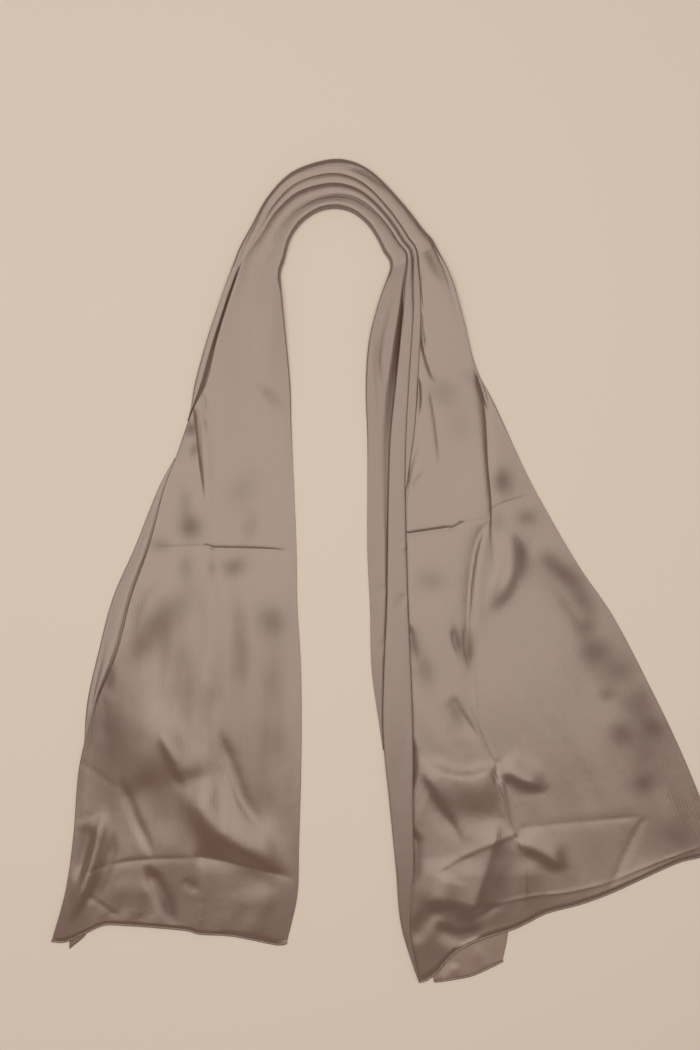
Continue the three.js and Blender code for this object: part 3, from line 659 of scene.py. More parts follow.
under_t = crowded(0, 9, 200)
under_s = crowded(0, 1, 50, [(0, 0.12, 4)])
under_xy = laid(LEFT_UNDER["outer"], LEFT_UNDER["inner"], under_t, under_s)
under_xy = hemmed(under_xy, under_t, LEFT_UNDER_HEM, 0.5)
under_across = under_s * width_of(LEFT_UNDER["outer"], LEFT_UNDER["inner"], under_t)
panel_edge = through(LEFT["edge"], left_t)
to_edge = under_xy[..., 0] - np.interp(-under_xy[..., 1], -panel_edge[:, 1], panel_edge[:, 0])
strip = smooth(-9, STRIP_RISE, under_across) * (1 - smooth(-STRIP_FALL, 1, to_edge))
groove = 0.3 * np.exp(-(((under_across - STRIP_GROOVE[0]) / STRIP_GROOVE[1]) ** 2))
strip = strip * (1 - groove * smooth(3.6, 4.6, under_t)[:, None])
under_z = STRIP_FOOT + (STRIP_HEIGHT - STRIP_FOOT) * strip * (1 - smooth(*STRIP_ENDS, under_t))[:, None]
under_z = lifted(under_z * turned(under_across, 0.8))
# Its tone is painted shade towards its lower end: redder and darker, with dark streaks.
left_under = cloth(
    "left_under_cloth", under_xy, under_z, weave_of(under_across, along_rows(under_t, LEFT_UNDER["outer"])),
    "left_under_layer", 0.7 * smooth(4, 7, under_t)[:, None],
)


# Left roll. Along the upper outline the edge of the panel is rolled under, and falls into a dark line
# beside the cloth that lies on it.

ROLL_ENDS = 4.25  # section
ROLL_CROWN = 0.9  # mm above the tail beside it
ROLL_DEPTH = 2.6  # mm, down to the dark line beside the tail
ROLL_LEVEL = 0.74  # share of its width before it begins to fall, near the gather
ROLL_NARROWS = 0.26  # what that share loses further down

roll_t = from_gather(ROLL_ENDS, 150)
roll_s = crowded(0, 1, 28, [(0, 0.1, 2), (1, 0.1, 3)])
roll_xy = laid(LEFT["outer"], LEFT["edge"], roll_t, roll_s)
roll_across = roll_s * width_of(LEFT["outer"], LEFT["edge"], roll_t)
roll_begins = ROLL_LEVEL - ROLL_NARROWS * smooth(1.6, 3, roll_t)[:, None]
roll_fall = smooth(0, 1, (roll_s - roll_begins) / (1 - roll_begins))
roll_fall = roll_fall * (smooth(0, 0.6, roll_t) * (1 - 0.8 * smooth(3, 3.9, roll_t)))[:, None]
roll_own = LOFT + between(LEFT["rise"], roll_t) + ROLL_CROWN * np.sin(np.pi * roll_s**0.8)
roll_z = opened(roll_own, across_tail(roll_xy, LEFT, roll_t), roll_t, 0) - ROLL_DEPTH * roll_fall
roll_z = lifted(roll_z * turned(roll_across, EDGE_TURN))
roll_weave = weave_of(roll_across, along_rows(roll_t, LEFT["outer"]))
left_roll = cloth("left_roll_cloth", roll_xy, roll_z, roll_weave, "left_outer_roll")


# Right tail. It is wider, because its outer half is spread out. The half towards the neck's middle is
# folded over the outer one, down to the pressed crease, and from there on the two are one flat sheet.

RIGHT = table(
    "inner pleat_in pleat_out tuck fold outer rise",
    ((2, 345), (22, 355.5), (29, 359.2), (35, 362.4), (53, 371.9), (57, 374), 7.0),
    ((-12, 304), (20, 319), (30, 323), (38, 327), (71, 335), (75, 336), 5.6),
    ((-22, 261), (16, 270), (28, 274), (38, 277), (85, 286), (89, 287), 3.8),
    ((-25, 209), (10, 212), (24, 215), (35, 219), (99, 234), (102, 236), 2.2),
    ((-23, 151), (4, 153), (21, 157), (31, 160), (112, 187), (124, 192), 1.2),
    ((-23, 88), (2, 90), (20, 94), (22, 95), (116, 124), (151, 133), 0.6),
    ((-23, 24), (1, 27), (21, 35), (21, 35), (120, 65), (174, 87), 0.2),
    ((-20, -45), (0, -43), (23, -36), (23, -36), (114, -9), (219, 9), 0.0),
    ((-18, -114), (-3, -112), (26, -105), (26, -105), (102, -91), (261, -53), 0.0),
    ((-8, -187), (-4, -189), (29, -189), (29, -189), (107, -182), (303, -133), 0.0),
    ((3, -264), (3, -264), (29, -270), (29, -270), (130, -258), (337, -204), 0.0),
    ((11, -345), (11, -345), (30, -348), (30, -348), (151, -326), (361, -261), 0.0),
    ((17, -409), (17, -409), (26, -412), (26, -412), (158, -371), (375, -296), 0.0),
    ((37, -475), (37, -475), (37, -475), (37, -475), (162, -406), (387, -323), 0.0),
)
RIGHT_HEM = [
    (37, -475), (46, -472), (58, -463), (71, -448), (84, -437), (107, -426), (144, -414), (162, -406),
    (186, -395), (224, -385), (257, -373), (290, -358), (334, -338), (361, -331), (387, -323),
]
RIGHT_FOLDS = table(
    FOLD,
    # folds that run down from the gather
    ((42, 382), (50, 357), (64, 337), 5, 6, -1.6),
    ((39, 274), (47, 242), (56, 216), 7, 3, -1.5),
    ((38, 156), (29, 124), (23, 89), 5, 3.5, -1.7),
    ((47, 119), (39, 105), (31, 96), 3, 3, -1),
    ((78, 230), (71, 207), (56, 186), 12, 12, -0.9),
    ((105, 232), (111, 209), (115, 184), 3, 3, -2),
    # where the folded edge meets the crease and turns into two folds
    ((114, 59), (105, -1), (104, -80), 11, 5, 1),
    ((130, 52), (144, -1), (109, -46), 12, 10, 3.4),
    # hollows beside the long pleat
    ((24, -63), (27, -87), (35, -112), 6, 4, -2.6),
    ((29, -193), (29, -223), (27, -260), 5, 4, -2.6),
    ((32, -297), (31, -331), (26, -368), 7, 5, -3.2),
    # the middle and the outer trough
    ((75, -142), (86, -163), (107, -195), 3, 14, -1.2),
    ((139, 54), (190, -1), (253, -80), 26, 20, -2.4),
    ((199, -3), (260, -107), (329, -197), 30, 20, -2.4),
    # the low facets above the lower crease
    ((31, -215), (84, -237), (132, -220), 10, 42, 5),
    ((35, -227), (59, -271), (89, -318), 6, 13, -2),
    ((127, -223), (151, -237), (190, -253), 16, 9, 3.4),
    ((124, -214), (128, -230), (130, -248), 3.9, 6.5, -0.8),
    # the dark folds below it
    ((144, -306), (176, -324), (209, -343), 14, 8, 2.8, 0.3, 0.35),
    ((68, -343), (62, -364), (56, -394), 14, 10, 1.8),
    ((63, -380), (46, -405), (26, -435), 9, 11, -1.8),
    ((56, -401), (82, -421), (114, -408), 7, 9, -2),
    ((91, -396), (112, -394), (137, -383), 5, 7, -1.3),
    # the cloth beside the hem, tilted towards it
    ((165, -396), (246, -375), (350, -343), 36, 7, 1.5),
    **FADES,
)
# Painted shade on the right tail: dark blotches where its folds turn the sheen away
RIGHT_SHADE_SPOTS = table(
    SPOT,
    ((136, 101), 11, 17, 0, 0.9),
    ((157, 60), 12, 8, 0, 0.55),
    ((127, 57), 9, 14, 0, 0.3),
    ((53, -10), 16, 14, 0, 0.35),
    ((29, -85), 9, 14, 0, 0.6),
    ((42, -112), 10, 17, 15, 0.5),
    ((81, -163), 10, 14, 0, 0.5),
    ((78, -81), 4.5, 15, 8, 0.95),
    ((91, -89), 6, 20, 4, 0.95),
    ((186, 13), 15, 12, -30, 0.5),
    ((206, -2), 22, 14, -30, 0.8),
    ((225, -33), 16, 24, 30, 0.6),
    ((227, -66), 12, 10, 0, 0.6),
    ((242, -91), 16, 14, 0, 0.8),
    ((266, -113), 16, 17, 35, 0.6),
    ((254, -141), 8, 8, 0, 0.6),
    ((292, -156), 18, 20, 30, 0.6),
    ((309, -182), 16, 12, 0, 0.75),
    ((269, -189), 14, 13, 0, 0.8),
    ((295, -245), 14, 14, 0, 0.85),
    ((292, -209), 12, 20, 0, 0.4),
    ((336, -305), 22, 14, -20, 0.7),
    ((153, 11), 9, 24, 20, 0.4),
    ((53, 357), 5, 20, 28, 0.7),
    ((126, -357), 13, 36, 16, 0.95),
    ((138, -336), 11, 15, 0, 0.5),
    ((61, -391), 20, 9, -12, 0.5),
    ((96, -412), 20, 8, 8, 0.8),
    ((42, -410), 9, 18, -30, 0.5),
    ((30, -230), 5, 32, 0, 0.8),
    ((31, -343), 8, 24, 0, 0.9),
    ((234, -47), 22, 90, 32, 0.15),
    ((301, -189), 18, 50, 25, 0.2),
    ((128, -31), 9, 14, -35, 0.5),
    ((63, 205), 18, 16, 0, 0.35),
    ((79, 170), 16, 24, 0, 0.2),
)
RIGHT_CREASES = table(
    FOLD,
    # lines that run down from the gather beside the pleats
    ((37, 373), (38, 352), (39, 325), 2.4, 5, -3.2, 0.1, 0.3),
    ((39, 306), (40, 278), (44, 248), 2.4, 5, -2.2, 0.25, 0.35),
    ((35, 225), (37, 202), (35, 170), 2.4, 6, -2.4, 0.25, 0.4),
    ((48, 211), (56, 169), (62, 112), 7, 3, -1.5, 0.2, 0.3),
    # short sharp folds beside the middle
    ((75, -67), (78, -83), (84, -99), 4, 3, -1.6, 0.2, 0.3),
    ((90, -59), (90, -89), (96, -112), 6, 3, -1.6, 0.3, 0.3),
    # where the folded edge meets the crease and turns into a sharp fold
    ((117, 57), (98, 4), (93, -107), 2.5, 9, -2.6, 0.25, 0.3),
    ((120, 61), (123, 30), (126, -20), 3, 5, -0.9, 0.15, 0.4),
    # the crease pressed at a quarter of the length
    ((17, 42), (44, 46), (75, 51), 2.2, 5, -1.5, 0.1, 0.15),
    ((68, 47), (78, 51), (89, 58), 2.2, 3, -1.2, 0.2, 0.2),
    ((82, 56), (100, 58), (119, 62), 1.8, 4, -0.25, 0.2, 0.15),
    ((117, 69), (142, 81), (179, 89), 1.8, 5, -0.7, 0.12, 0.2),
    # the middle crease and those of the last folding
    ((79, -98), (98, -155), (127, -226), 2, 2.5, 0.5, 0.2, 0.12),
    ((127, -225), (139, -270), (151, -308), 2, 3, 0.8, 0.12, 0.12),
    ((151, -306), (158, -345), (160, -387), 2, 2.5, 0.5, 0.12, 0.3),
    ((54, -348), (96, -323), (153, -301), 6, 3, 0.9, 0.2, 0.12),
    ((149, -298), (211, -291), (299, -283), 6, 4, -0.5, 0.12, 0.12),
    ((298, -282), (277, -322), (253, -375), 2.5, 4, -0.7, 0.12, 0.15),
    ((132, -283), (112, -343), (93, -410), 15, 34, 5, 0.28, 0.2),
    # the line that the lower layer's hem presses through
    ((109, -389), (144, -379), (182, -372), 2, 2, 0.35, 0.2, 0.12),
    ((176, -373), (217, -367), (260, -356), 2, 2, 0.35, 0.12, 0.12),
    ((253, -358), (309, -336), (367, -315), 2, 2, 0.35, 0.12, 0.12),
)
FOLD_OVER = 3.2  # mm, the folded half above the half below it
FOLD_ROUND = 12.0  # mm, radius over which its edge turns down
FOLD_BACK = 34.0  # mm, over which it comes down again behind that edge
FOLD_SINK = 0.8  # mm, that the half below it sinks beside that edge
FOLD_BESIDE = 8.0  # mm, over which it does
FOLD_SHARE = 0.46  # share of the columns before the folded edge
RIGHT_ROWS = 340
RIGHT_COLUMNS = 140
TUCK = (0.35, 3.0)  # share of its height that the tail loses under the pleats, and over how many mm
RIGHT_UNDER_ENDS = (152, 188)  # mm in x, over which the room for the layer below it ends
RIGHT_UNDER_BEGINS = (-352, -328)  # mm in y, over which it begins

# more rows at the pressed crease, at the lower folds and at the hem, more columns at the folded edge
right_t = from_gather(13, RIGHT_ROWS, [(5.93, 0.2, 2.4), (11.2, 1.4, 0.5), (13, 0.06, 9)])
right_s = crowded(0, 1, RIGHT_COLUMNS, [(0, 0.02, 5), (FOLD_SHARE, 0.012, 9), (1, 0.02, 4)])
in_share = np.clip(right_s / FOLD_SHARE, 0, 1)
out_share = np.clip((right_s - FOLD_SHARE) / (1 - FOLD_SHARE), 0, 1)
right_xy = laid(RIGHT["tuck"], RIGHT["fold"], right_t, in_share)
right_xy = right_xy + laid(RIGHT["fold"], RIGHT["outer"], right_t, out_share)
right_xy = hemmed(right_xy - through(RIGHT["fold"], right_t)[:, None], right_t, RIGHT_HEM)
tuck_width = width_of(RIGHT["tuck"], RIGHT["fold"], right_t)
outer_width = width_of(RIGHT["fold"], RIGHT["outer"], right_t)
from_tuck = in_share * tuck_width + out_share * outer_width
from_outer = (1 - out_share) * outer_width + (1 - in_share) * tuck_width
from_fold = out_share * outer_width - (1 - in_share) * tuck_width


def right_base(xy):
    """Height of the layer below the right tail's corner."""
    x, y = xy[..., 0], xy[..., 1]
    return UNDER_LAYER * (1 - smooth(*RIGHT_UNDER_ENDS, x)) * (1 - smooth(*RIGHT_UNDER_BEGINS, y))


right_along = along_rows(right_t, RIGHT["fold"])
right_own = tail_height(
    right_xy, right_t, RIGHT["rise"], RIGHT_FOLDS, RIGHT_CREASES, from_outer, right_along, streak=0.2
)
folded = (smooth(2.9, 3.5, right_t) * (1 - smooth(5.4, 6.6, right_t)))[:, None]
over = np.where(from_fold < 0, turned(-from_fold, FOLD_ROUND) * np.exp(-((from_fold / FOLD_BACK) ** 2)), 0)
beside = np.where(from_fold > 0, np.exp(-((from_fold / FOLD_BESIDE) ** 2)), 0)
right_own = right_own + folded * (FOLD_OVER * over - FOLD_SINK * beside)
right_z = opened(right_own, across_tail(right_xy, RIGHT, right_t), right_t, 1)
right_gather = near_gather(right_t)
tucked = TUCK[0] * (1 - right_gather) * np.exp(-((from_tuck / TUCK[1]) ** 2))
right_z = lifted(right_z * edge_fall(from_outer, right_gather) * (1 - tucked))
right_z = to_seam(right_z, right_t, RIGHT["fold"]) + right_base(right_xy)
# Its tone is painted shade towards the hem, redder and darker with dark streaks, and a redder thin outer
# edge; its spots are painted shade too.
right_tone = 0.5 * smooth(7, 12, right_t)[:, None] + 0.2 * (1 - smooth(2, 16, from_outer))
right_weave = weave_of(np.where(from_fold < 0, from_tuck, from_outer), right_along)
right_panel = cloth(
    "right_tail_cloth", right_xy, right_z, right_weave, "right_panel", right_tone,
    painted_shade_of(right_xy, RIGHT_SHADE_SPOTS),
)


# Inner strip of the right tail. The layer below the long pleat: its edge is turned towards the table,
# and it slides under the pleat and ends there in a sharp point.

INNER_ENDS = 9.25  # section
INNER_LOFT = LOFT - 0.2  # mm
INNER_FOLDS = table(
    FOLD,
    ((10, 325), (1, 273), (-5, 198), 6, 5, -1.4),
    ((-11, 290), (-18, 221), (-19, 140), 5, 5, 0.8),
    ((-7, -15), (-8, -24), (-9, -32), 6, 6, -0.8),
    ((-7, -75), (-8, -85), (-9, -98), 6, 6, -0.8),
    **FADES,
)
# the dark slot beside the pleat: over how many mm the strip comes down to it, section by section
SLOT = table("section reach", (0, 3), (1.5, 8), (3, 14), (4.4, 12), (6, 5), (9, 4))
SLOT_SHARE = 0.15  # share of its height that the strip keeps there

inner_t = from_gather(INNER_ENDS, 210)
inner_s = crowded(0, 1, 40, [(0, 0.08, 2), (1, 0.1, 3)])
inner_xy = laid(RIGHT["inner"], RIGHT["pleat_in"], inner_t, inner_s)
inner_width = width_of(RIGHT["inner"], RIGHT["pleat_in"], inner_t)
inner_across = inner_s * inner_width
slot_reach = np.interp(inner_t, SLOT["section"], SLOT["reach"])[:, None]
inner_own = INNER_LOFT + between(RIGHT["rise"], inner_t) + fold_height(inner_xy, INNER_FOLDS)
to_slot = smooth(-1, slot_reach, inner_width - inner_across)
inner_own = inner_own * (SLOT_SHARE + (1 - SLOT_SHARE) * to_slot)
inner_z = opened(inner_own, across_tail(inner_xy, RIGHT, inner_t), inner_t, 1)
inner_z = lifted(inner_z * edge_fall(inner_across, near_gather(inner_t)))
# Painted shade of 0.2 all over it, and its tone is painted shade towards its end: redder and darker, with
# dark streaks.
inner_strip = cloth(
    "right_inner_strip_cloth", inner_xy, inner_z, weave_of(inner_across, along_rows(inner_t, RIGHT["inner"])),
    "right_inner_strip", 0.1 + 0.5 * smooth(6, 9, inner_t)[:, None], painted_shade=0.2,
)


# Pleats of the right tail. The long one lies on top of everything from the gather to the hem, with a
# turned edge on both sides, and the short one lies beside it under its edge.

PLEAT_HALF = 1.6  # mm, most that a pleat's rounded edge measures above or below its middle
# painted shade that darkens and browns each pleat evenly
PLEAT_PAINTED_SHADE = 0.16
PLEAT_WALL = 0.3  # mm


def pleat_cloth(name, side_a, side_b, t, columns, thick, widen, folds, node, tone=0.0):
    """A flattened tube's upper side, round both edges and a little under them: across it the angle q
    runs past 0 and pi, the place is the 0.42th power of cos q, and the height the 0.6th of sin q."""
    a, b = through(RIGHT[side_a], t)[:, None], through(RIGHT[side_b], t)[:, None]
    q = np.linspace(np.pi + 0.5, -0.5, columns)
    place = np.sign(np.cos(q)) * np.abs(np.cos(q)) ** 0.42
    width = np.linalg.norm(b - a, axis=-1, keepdims=True)
    xy = (a + b) / 2 + (b - a) / 2 * (1 + 2 * widen / np.maximum(width, 2)) * place[None, :, None]
    across = (place + 1) / 2 * width[..., 0]
    body = LOFT + thick + between(RIGHT["rise"], t) + fold_height(xy, folds)
    half = np.minimum(body / 2, PLEAT_HALF)
    own = body - half + half * np.sign(np.sin(q)) * np.abs(np.sin(q)) ** 0.6
    z = np.maximum(opened(own, across_tail(xy, RIGHT, t), t, 1), FLOAT + SATIN)
    weave = weave_of(across, along_rows(t, RIGHT[side_a]))
    return cloth(name, xy, z, weave, node, tone, PLEAT_PAINTED_SHADE, thick=PLEAT_WALL)


PLEAT_FOLDS = table(
    FOLD,
    ((15, 24), (20, 27), (24, 31), 3, 3, 0.7),
    ((22, -25), (16, -38), (10, -52), 5, 5, -0.9),
    ((6, -190), (8, -260), (14, -340), 6, 6, -0.5),
    ((17, -90), (15, -150), (14, -220), 5, 5, 0.5),
    **FADES,
)
pleat_t = from_gather(12.97, 330, [(5.9, 0.15, 2.0)])
# Its tone is painted shade towards the hem: redder and darker, with dark streaks.
long_pleat = pleat_cloth(
    "right_long_pleat_cloth", "pleat_in", "pleat_out", pleat_t, columns=44, thick=1.6, widen=1.0,
    folds=PLEAT_FOLDS, node="right_pleat", tone=0.6 * smooth(7, 12, pleat_t)[:, None],
)

SHORT_FOLDS = table(FOLD, ((30, 250), (28, 210), (26, 170), 3, 3, -0.4), **FADES)
short_pleat = pleat_cloth(
    "right_short_pleat_cloth", "pleat_out", "tuck", from_gather(4.95, 150), columns=30, thick=0.7, widen=0.4,
    folds=SHORT_FOLDS, node="right_small_pleat",
)


# Right flap. The corner of the lower layer, with its own hem, shows under the curved hem above it. A
# single layer on the pale table looks lighter.

FLAP = table(
    "outer inner",
    ((36, -372), (141, -368)),
    ((34, -400), (140, -396)),
    ((41, -430), (139, -420)),
    ((54, -475), (134, -451)),
)
FLAP_HEM = [(54, -475), (65, -474), (77, -472), (97, -468), (116, -460), (134, -451)]
FLAP_FOLDS = table(
    FOLD,
    ((60, -474), (70, -462), (84, -450), 6, 6, 1),
    ((96, -430), (108, -445), (112, -460), 8, 8, 0.6),
    **FADES,
)
FLAP_HEIGHT = 1.1  # mm
FLAP_TURN = 1.5  # mm, radius of the turn at its edge
single = satin_material("polyester_satin_single_layer", "#7C6860", "#8E7A72", 0.38)

flap_t = crowded(0, 3, 90)
flap_s = crowded(0, 1, 80, [(1, 0.04, 3)])
flap_xy = hemmed(laid(FLAP["outer"], FLAP["inner"], flap_t, flap_s), flap_t, FLAP_HEM)
flap_width = width_of(FLAP["outer"], FLAP["inner"], flap_t)
flap_z = FLAP_HEIGHT + fold_height(flap_xy, FLAP_FOLDS)
flap_z = lifted(flap_z * turned((1 - flap_s) * flap_width, FLAP_TURN))
# Its tone of 0.4 gives it the lighter single layer colour, and faint streaks of painted shade.
flap = cloth(
    "right_flap_cloth", flap_xy, flap_z, weave_of(flap_s * flap_width, along_rows(flap_t, FLAP["outer"])),
    "right_under_flap", 0.4, material=single,
)


# Rolled hems. Each end of the panel is rolled in on itself and sewn down with fine slanted stitches,
# which pull the roll into small waves.

HEM_STATIONS = 420
HEM_SIDES = 12
HEM_FOOT = 0.3  # mm, height of the bead's edges
HEM_CROWN = 1.9  # mm, its crown above them
HEM_WALL = 0.25  # mm
WAVE = 9.0  # mm, between the waves that the stitches pull
STITCH_PITCH = 3.2  # mm
STITCH_LENGTH = 2.2  # mm
STITCH_LEAN = 0.9  # mm, from one end of a stitch to the other, across the seam
STITCH_THICK = 0.45  # mm, of the sewing thread
STITCH_BESIDE = 0.2  # mm, from the bead to the row of stitches
STITCH_RINGS = 7
STITCH_SIDES = 6

hem_satin = satin_material("polyester_satin_rolled_hem", "#6C5951", "#5D483F", 0.42)

# Spun polyester sewing thread: matt, a shade darker than the satin
thread = bpy.data.materials.new("polyester_thread_spun")
thread.use_nodes = True
thread_tree = thread.node_tree
thread_shader = thread_tree.nodes["Principled BSDF"]
fibre = add_node(thread_tree, "ShaderNodeTexCoord").outputs["Object"]
fuzz = add_node(thread_tree, "ShaderNodeTexNoise", {"Scale": 900.0, "Detail": 2.0}, Vector=fibre)
fibres = {"data_type": "RGBA", "#6": srgb("#5A463F"), "#7": srgb("#78645B")}
twine = add_node(thread_tree, "ShaderNodeMix", fibres, i0=fuzz)
thread_tree.links.new(twine.outputs[2], thread_shader.inputs["Base Color"])
thread_shader.inputs["Roughness"].default_value = 0.7


def rolled_hem(name, curve, height_at, node):
    """A half round bead along a hem's curve: across it an angle q from 0 to pi gives the place
    (1 - cos q) / 2 of its width and the height sin q to the power 0.7, and its height swells in
    uneven waves."""
    shares = np.linspace(0, 1, HEM_STATIONS)
    along = shares[:, None] * travelled(by_length(curve, shares))[-1]
    phase = along / WAVE * 2 * np.pi
    swell = 1 + 0.10 * np.sin(phase + 1.7 * np.sin(phase / 5.3)) + 0.06 * np.sin(phase * 2.3)
    q = np.linspace(0, np.pi, HEM_SIDES)
    inward = (1 - np.cos(q)) / 2 * HEM_WIDTH
    xy = np.stack([by_length(curve, shares, k) for k in inward], 1)
    z = height_at(xy) + HEM_FOOT + HEM_CROWN * swell * np.sin(q) ** 0.7
    weave = weave_of(np.broadcast_to(inward, z.shape), along)
    # The tone of 0.4 gives the hem its own darker colour, and faint streaks of painted shade.
    return cloth(name, xy, z, weave, node, 0.4, material=hem_satin, thick=HEM_WALL)


def stitches(name, curve, height_at):
    """Small round-ended threads in a row along a hem's curve: each a tube whose radius is half the
    thickness times the square root of cos of the way from its middle, leaning over the seam."""
    length = travelled(by_length(curve, np.linspace(0, 1, 400)))[-1]
    count = int(length / STITCH_PITCH)
    middle = (np.arange(count) + 0.5) * STITCH_PITCH / length
    reach = np.linspace(-0.5, 0.5, STITCH_RINGS)
    share = middle[:, None] + reach * STITCH_LENGTH / length
    centre = by_length(curve, share.ravel(), HEM_WIDTH + STITCH_BESIDE).reshape(count, STITCH_RINGS, 2)
    way = np.gradient(centre, axis=1)
    way /= np.linalg.norm(way, axis=-1, keepdims=True)
    aside = np.dstack([-way[..., 1], way[..., 0]])
    centre = centre + aside * (reach * STITCH_LEAN)[None, :, None]
    radius = STITCH_THICK / 2 * np.sqrt(np.clip(np.cos(np.pi * reach), 0.02, 1))[:, None]
    angle = np.arange(STITCH_SIDES) * 2 * np.pi / STITCH_SIDES
    xy = centre[:, :, None] + aside[:, :, None] * (radius * np.cos(angle))[None, ..., None]
    ground = height_at(centre) + SEAM_HEIGHT + STITCH_THICK / 4
    z = ground[..., None] + (radius * np.sin(angle))[None]
    points = np.concatenate([xy, z[..., None]], -1).reshape(-1, 3)
    ring = np.arange(len(points)).reshape(count, STITCH_RINGS, STITCH_SIDES)
    after = np.roll(ring, -1, axis=2)
    quads = np.stack([ring[:, :-1], ring[:, 1:], after[:, 1:], after[:, :-1]], -1).reshape(-1, 4).tolist()
    caps = np.concatenate([ring[:, 0], ring[:, -1, ::-1]]).tolist()
    mesh = bpy.data.meshes.new(name)
    mesh.from_pydata((points * MM).tolist(), [], quads + caps)
    mesh.materials.append(thread)
    mesh.polygons.foreach_set("use_smooth", np.ones(len(mesh.polygons), bool))
    piece = placed(name, mesh)
    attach(piece, "root")
    return piece


def bare_table(xy):
    """Height of the table, with no layer below the flap."""
    return np.zeros(xy.shape[:-1])


left_hem = rolled_hem("left_hem_roll", LEFT_HEM, left_base, "left_hem")
right_hem = rolled_hem("right_hem_roll", RIGHT_HEM, right_base, "right_hem")
flap_hem = rolled_hem("right_flap_hem_roll", FLAP_HEM, bare_table, "right_flap_hem")
left_stitches = stitches("left_hem_stitches", LEFT_HEM, left_base)
right_stitches = stitches("right_hem_stitches", RIGHT_HEM, right_base)
flap_stitches = stitches("right_flap_hem_stitches", FLAP_HEM, bare_table)


# Gathered neck. Between the tails the whole width of the panel is drawn together and bends round in
# one piece, in blades that lie over each other.

NECK = table(
    "outer inner",
    ((-175, 362), (-123, 336)),
    ((-156, 400), (-118, 360)),
    ((-138, 432), (-111, 384)),
    ((-112, 459), (-97, 403)),
    ((-80, 472), (-78, 415)),
    ((-49, 474.5), (-58, 418)),
    ((-18, 461), (-38, 412)),
    ((15, 428), (-20, 396)),
    ((42, 394), (-6, 371)),
    ((57, 374), (2, 345)),
)
NECK_FOLDS = table(
    FOLD,
    # long soft hollows on its outer side
    ((-150, 392), (-126, 430), (-97, 453), 5, 6, -0.8, 0.4, 0.5),
    ((-62, 462), (-30, 457), (2, 430), 6, 5, -0.9, 0.5, 0.4),
)
NECK_ROWS = 292
NECK_COLUMNS = 130
NECK_LAP = 0.05  # sections that the neck's cloth goes on beneath each tail
NECK_TUCK = 0.6  # mm, that it lies lower there
NECK_CALM = 1.2  # sections beside each tail over which its folds set in
LAST = len(NECK["outer"]) - 1


def neck_side(column):
    """A side of the neck with one point more at each end, so that it runs on smoothly into the tails:
    the neck's own second point, moved by twice the tail's first step."""
    side, left, right = (np.array(v, float) for v in (NECK[column], LEFT[column][:2], RIGHT[column][:2]))
    return np.vstack([side[1] + 2 * (left[1] - left[0]), side, side[-2] + 2 * (right[1] - right[0])])


lap = NECK_LAP * np.array([0.1, 0.3, 0.6, 1])
neck_t = np.concatenate([-lap[::-1], crowded(0, LAST, NECK_ROWS), LAST + lap])
neck_s = crowded(0, 1, NECK_COLUMNS, [(0, 0.04, 2), (1, 0.04, 2)])
neck_inner, neck_outer = neck_side("inner"), neck_side("outer")
neck_xy = laid(neck_inner, neck_outer, neck_t + 1, neck_s)
neck_share = np.broadcast_to(neck_s, neck_xy.shape[:2])
neck_width = width_of(neck_inner, neck_outer, neck_t + 1)
neck_from = neck_share * neck_width
inside = smooth(0, NECK_CALM, neck_t) * smooth(0, NECK_CALM, LAST - neck_t)
neck_z = gathered(neck_share, neck_t[:, None] / LAST) + fold_height(neck_xy, NECK_FOLDS) * inside[:, None]
neck_z = neck_z * turned(neck_from, EDGE_TURN) * turned(neck_width - neck_from, EDGE_TURN)
under_tail = smooth(0, NECK_LAP, np.maximum(-neck_t, neck_t - LAST))
neck_z = lifted(neck_z) - NECK_TUCK * under_tail[:, None]
neck_weave = weave_of(neck_from, along_rows(neck_t + 1, neck_outer))
neck = cloth("neck_gather_cloth", neck_xy, neck_z, neck_weave, "neck_gather")


# Table, light and camera. A plain pale floor, a wide soft light above the neck's side, and the camera
# straight above the middle of the view.

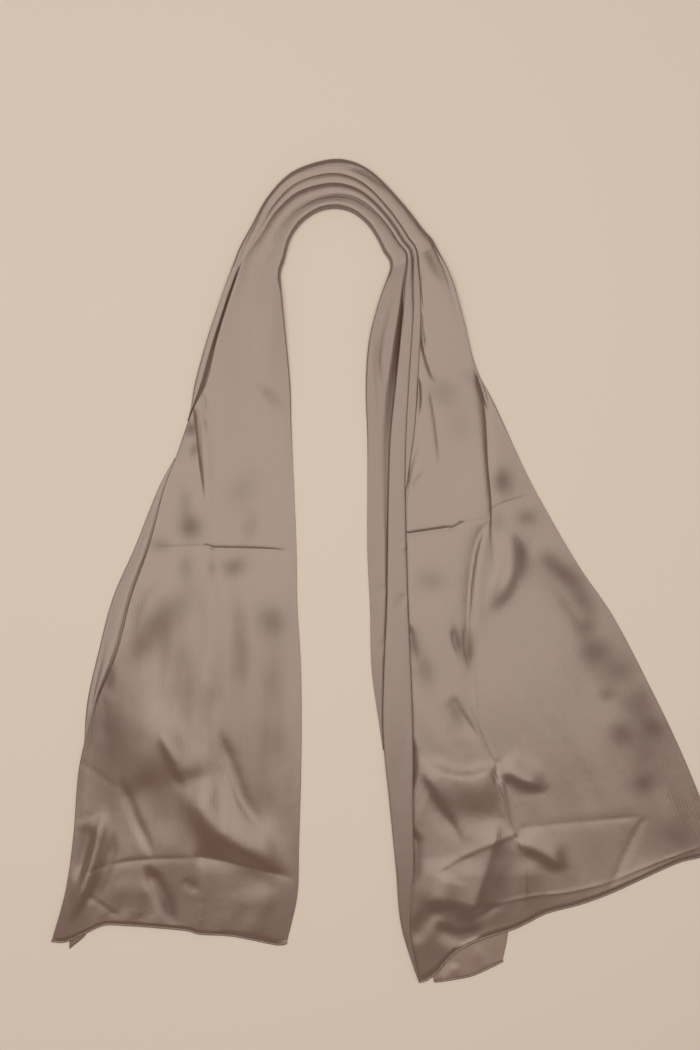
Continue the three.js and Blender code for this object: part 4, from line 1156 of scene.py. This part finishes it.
CAMERA_HEIGHT = 1.25  # m
VIEW_MIDDLE = (-0.0431, 0.0532)  # m
VIEW_HEIGHT = 1.21275  # m of floor from the lower to the upper edge of the view
SENSOR = 36.0  # mm
FLOOR_SIZE = 4.6  # m
FLOOR_COLOUR = "#DFDCD9"
DAYLIGHT = "#FFEDDB"
LAMP_SIZE = (3.7, 2.75)  # m
LAMP_PLACE = (-0.35, 0.3, 2.6)  # m
LAMP_POWER = 73  # W
WALL_LIGHT = 0.45  # strength of the room's light from low down, which the satin shows in flat views
CEILING_LIGHT = 0.09  # and from above, round the lamp
WALL_TOP = (0.35, 0.68)  # sine of the angle above the floor over which the one turns into the other

half = FLOOR_SIZE / 2
floor_mesh = bpy.data.meshes.new("floor")
corners = [(-half, -half, 0), (half, -half, 0), (half, half, 0), (-half, half, 0)]
floor_mesh.from_pydata(corners, [], [(0, 1, 2, 3)])
floor_material = bpy.data.materials.new("cotton_sheet_pale")
floor_material.use_nodes = True
floor_shader = floor_material.node_tree.nodes["Principled BSDF"]
floor_shader.inputs["Base Color"].default_value = srgb(FLOOR_COLOUR)
floor_shader.inputs["Roughness"].default_value = 0.95
floor_shader.inputs["Specular IOR Level"].default_value = 0.1
floor_mesh.materials.append(floor_material)
placed("floor", floor_mesh)

lamp = bpy.data.lights.new("window", "AREA")
lamp.shape = "RECTANGLE"
lamp.size, lamp.size_y = LAMP_SIZE
lamp.energy = LAMP_POWER
lamp.color = srgb(DAYLIGHT)[:3]
placed("window", lamp).location = LAMP_PLACE

world = bpy.data.worlds.new("room")
world.use_nodes = True
room = world.node_tree
sky = room.nodes["Background"]
sky.inputs["Color"].default_value = srgb(DAYLIGHT)
direction = add_node(room, "ShaderNodeTexCoord").outputs["Generated"]
upward = add_node(room, "ShaderNodeSeparateXYZ", Vector=direction).outputs["Z"]
low_to_high = {"interpolation_type": "SMOOTHSTEP", "From Min": WALL_TOP[0], "From Max": WALL_TOP[1],
               "To Min": WALL_LIGHT, "To Max": CEILING_LIGHT}
walls = add_node(room, "ShaderNodeMapRange", low_to_high, Value=upward)
room.links.new(walls.outputs[0], sky.inputs["Strength"])
scene.world = world
scene.view_settings.view_transform = "Standard"

camera_data = bpy.data.cameras.new("camera")
camera_data.sensor_fit = "VERTICAL"
camera_data.sensor_height = SENSOR
camera_data.lens = SENSOR * CAMERA_HEIGHT / VIEW_HEIGHT
camera = placed("camera", camera_data)
camera.location = (*VIEW_MIDDLE, CAMERA_HEIGHT)
scene.camera = camera
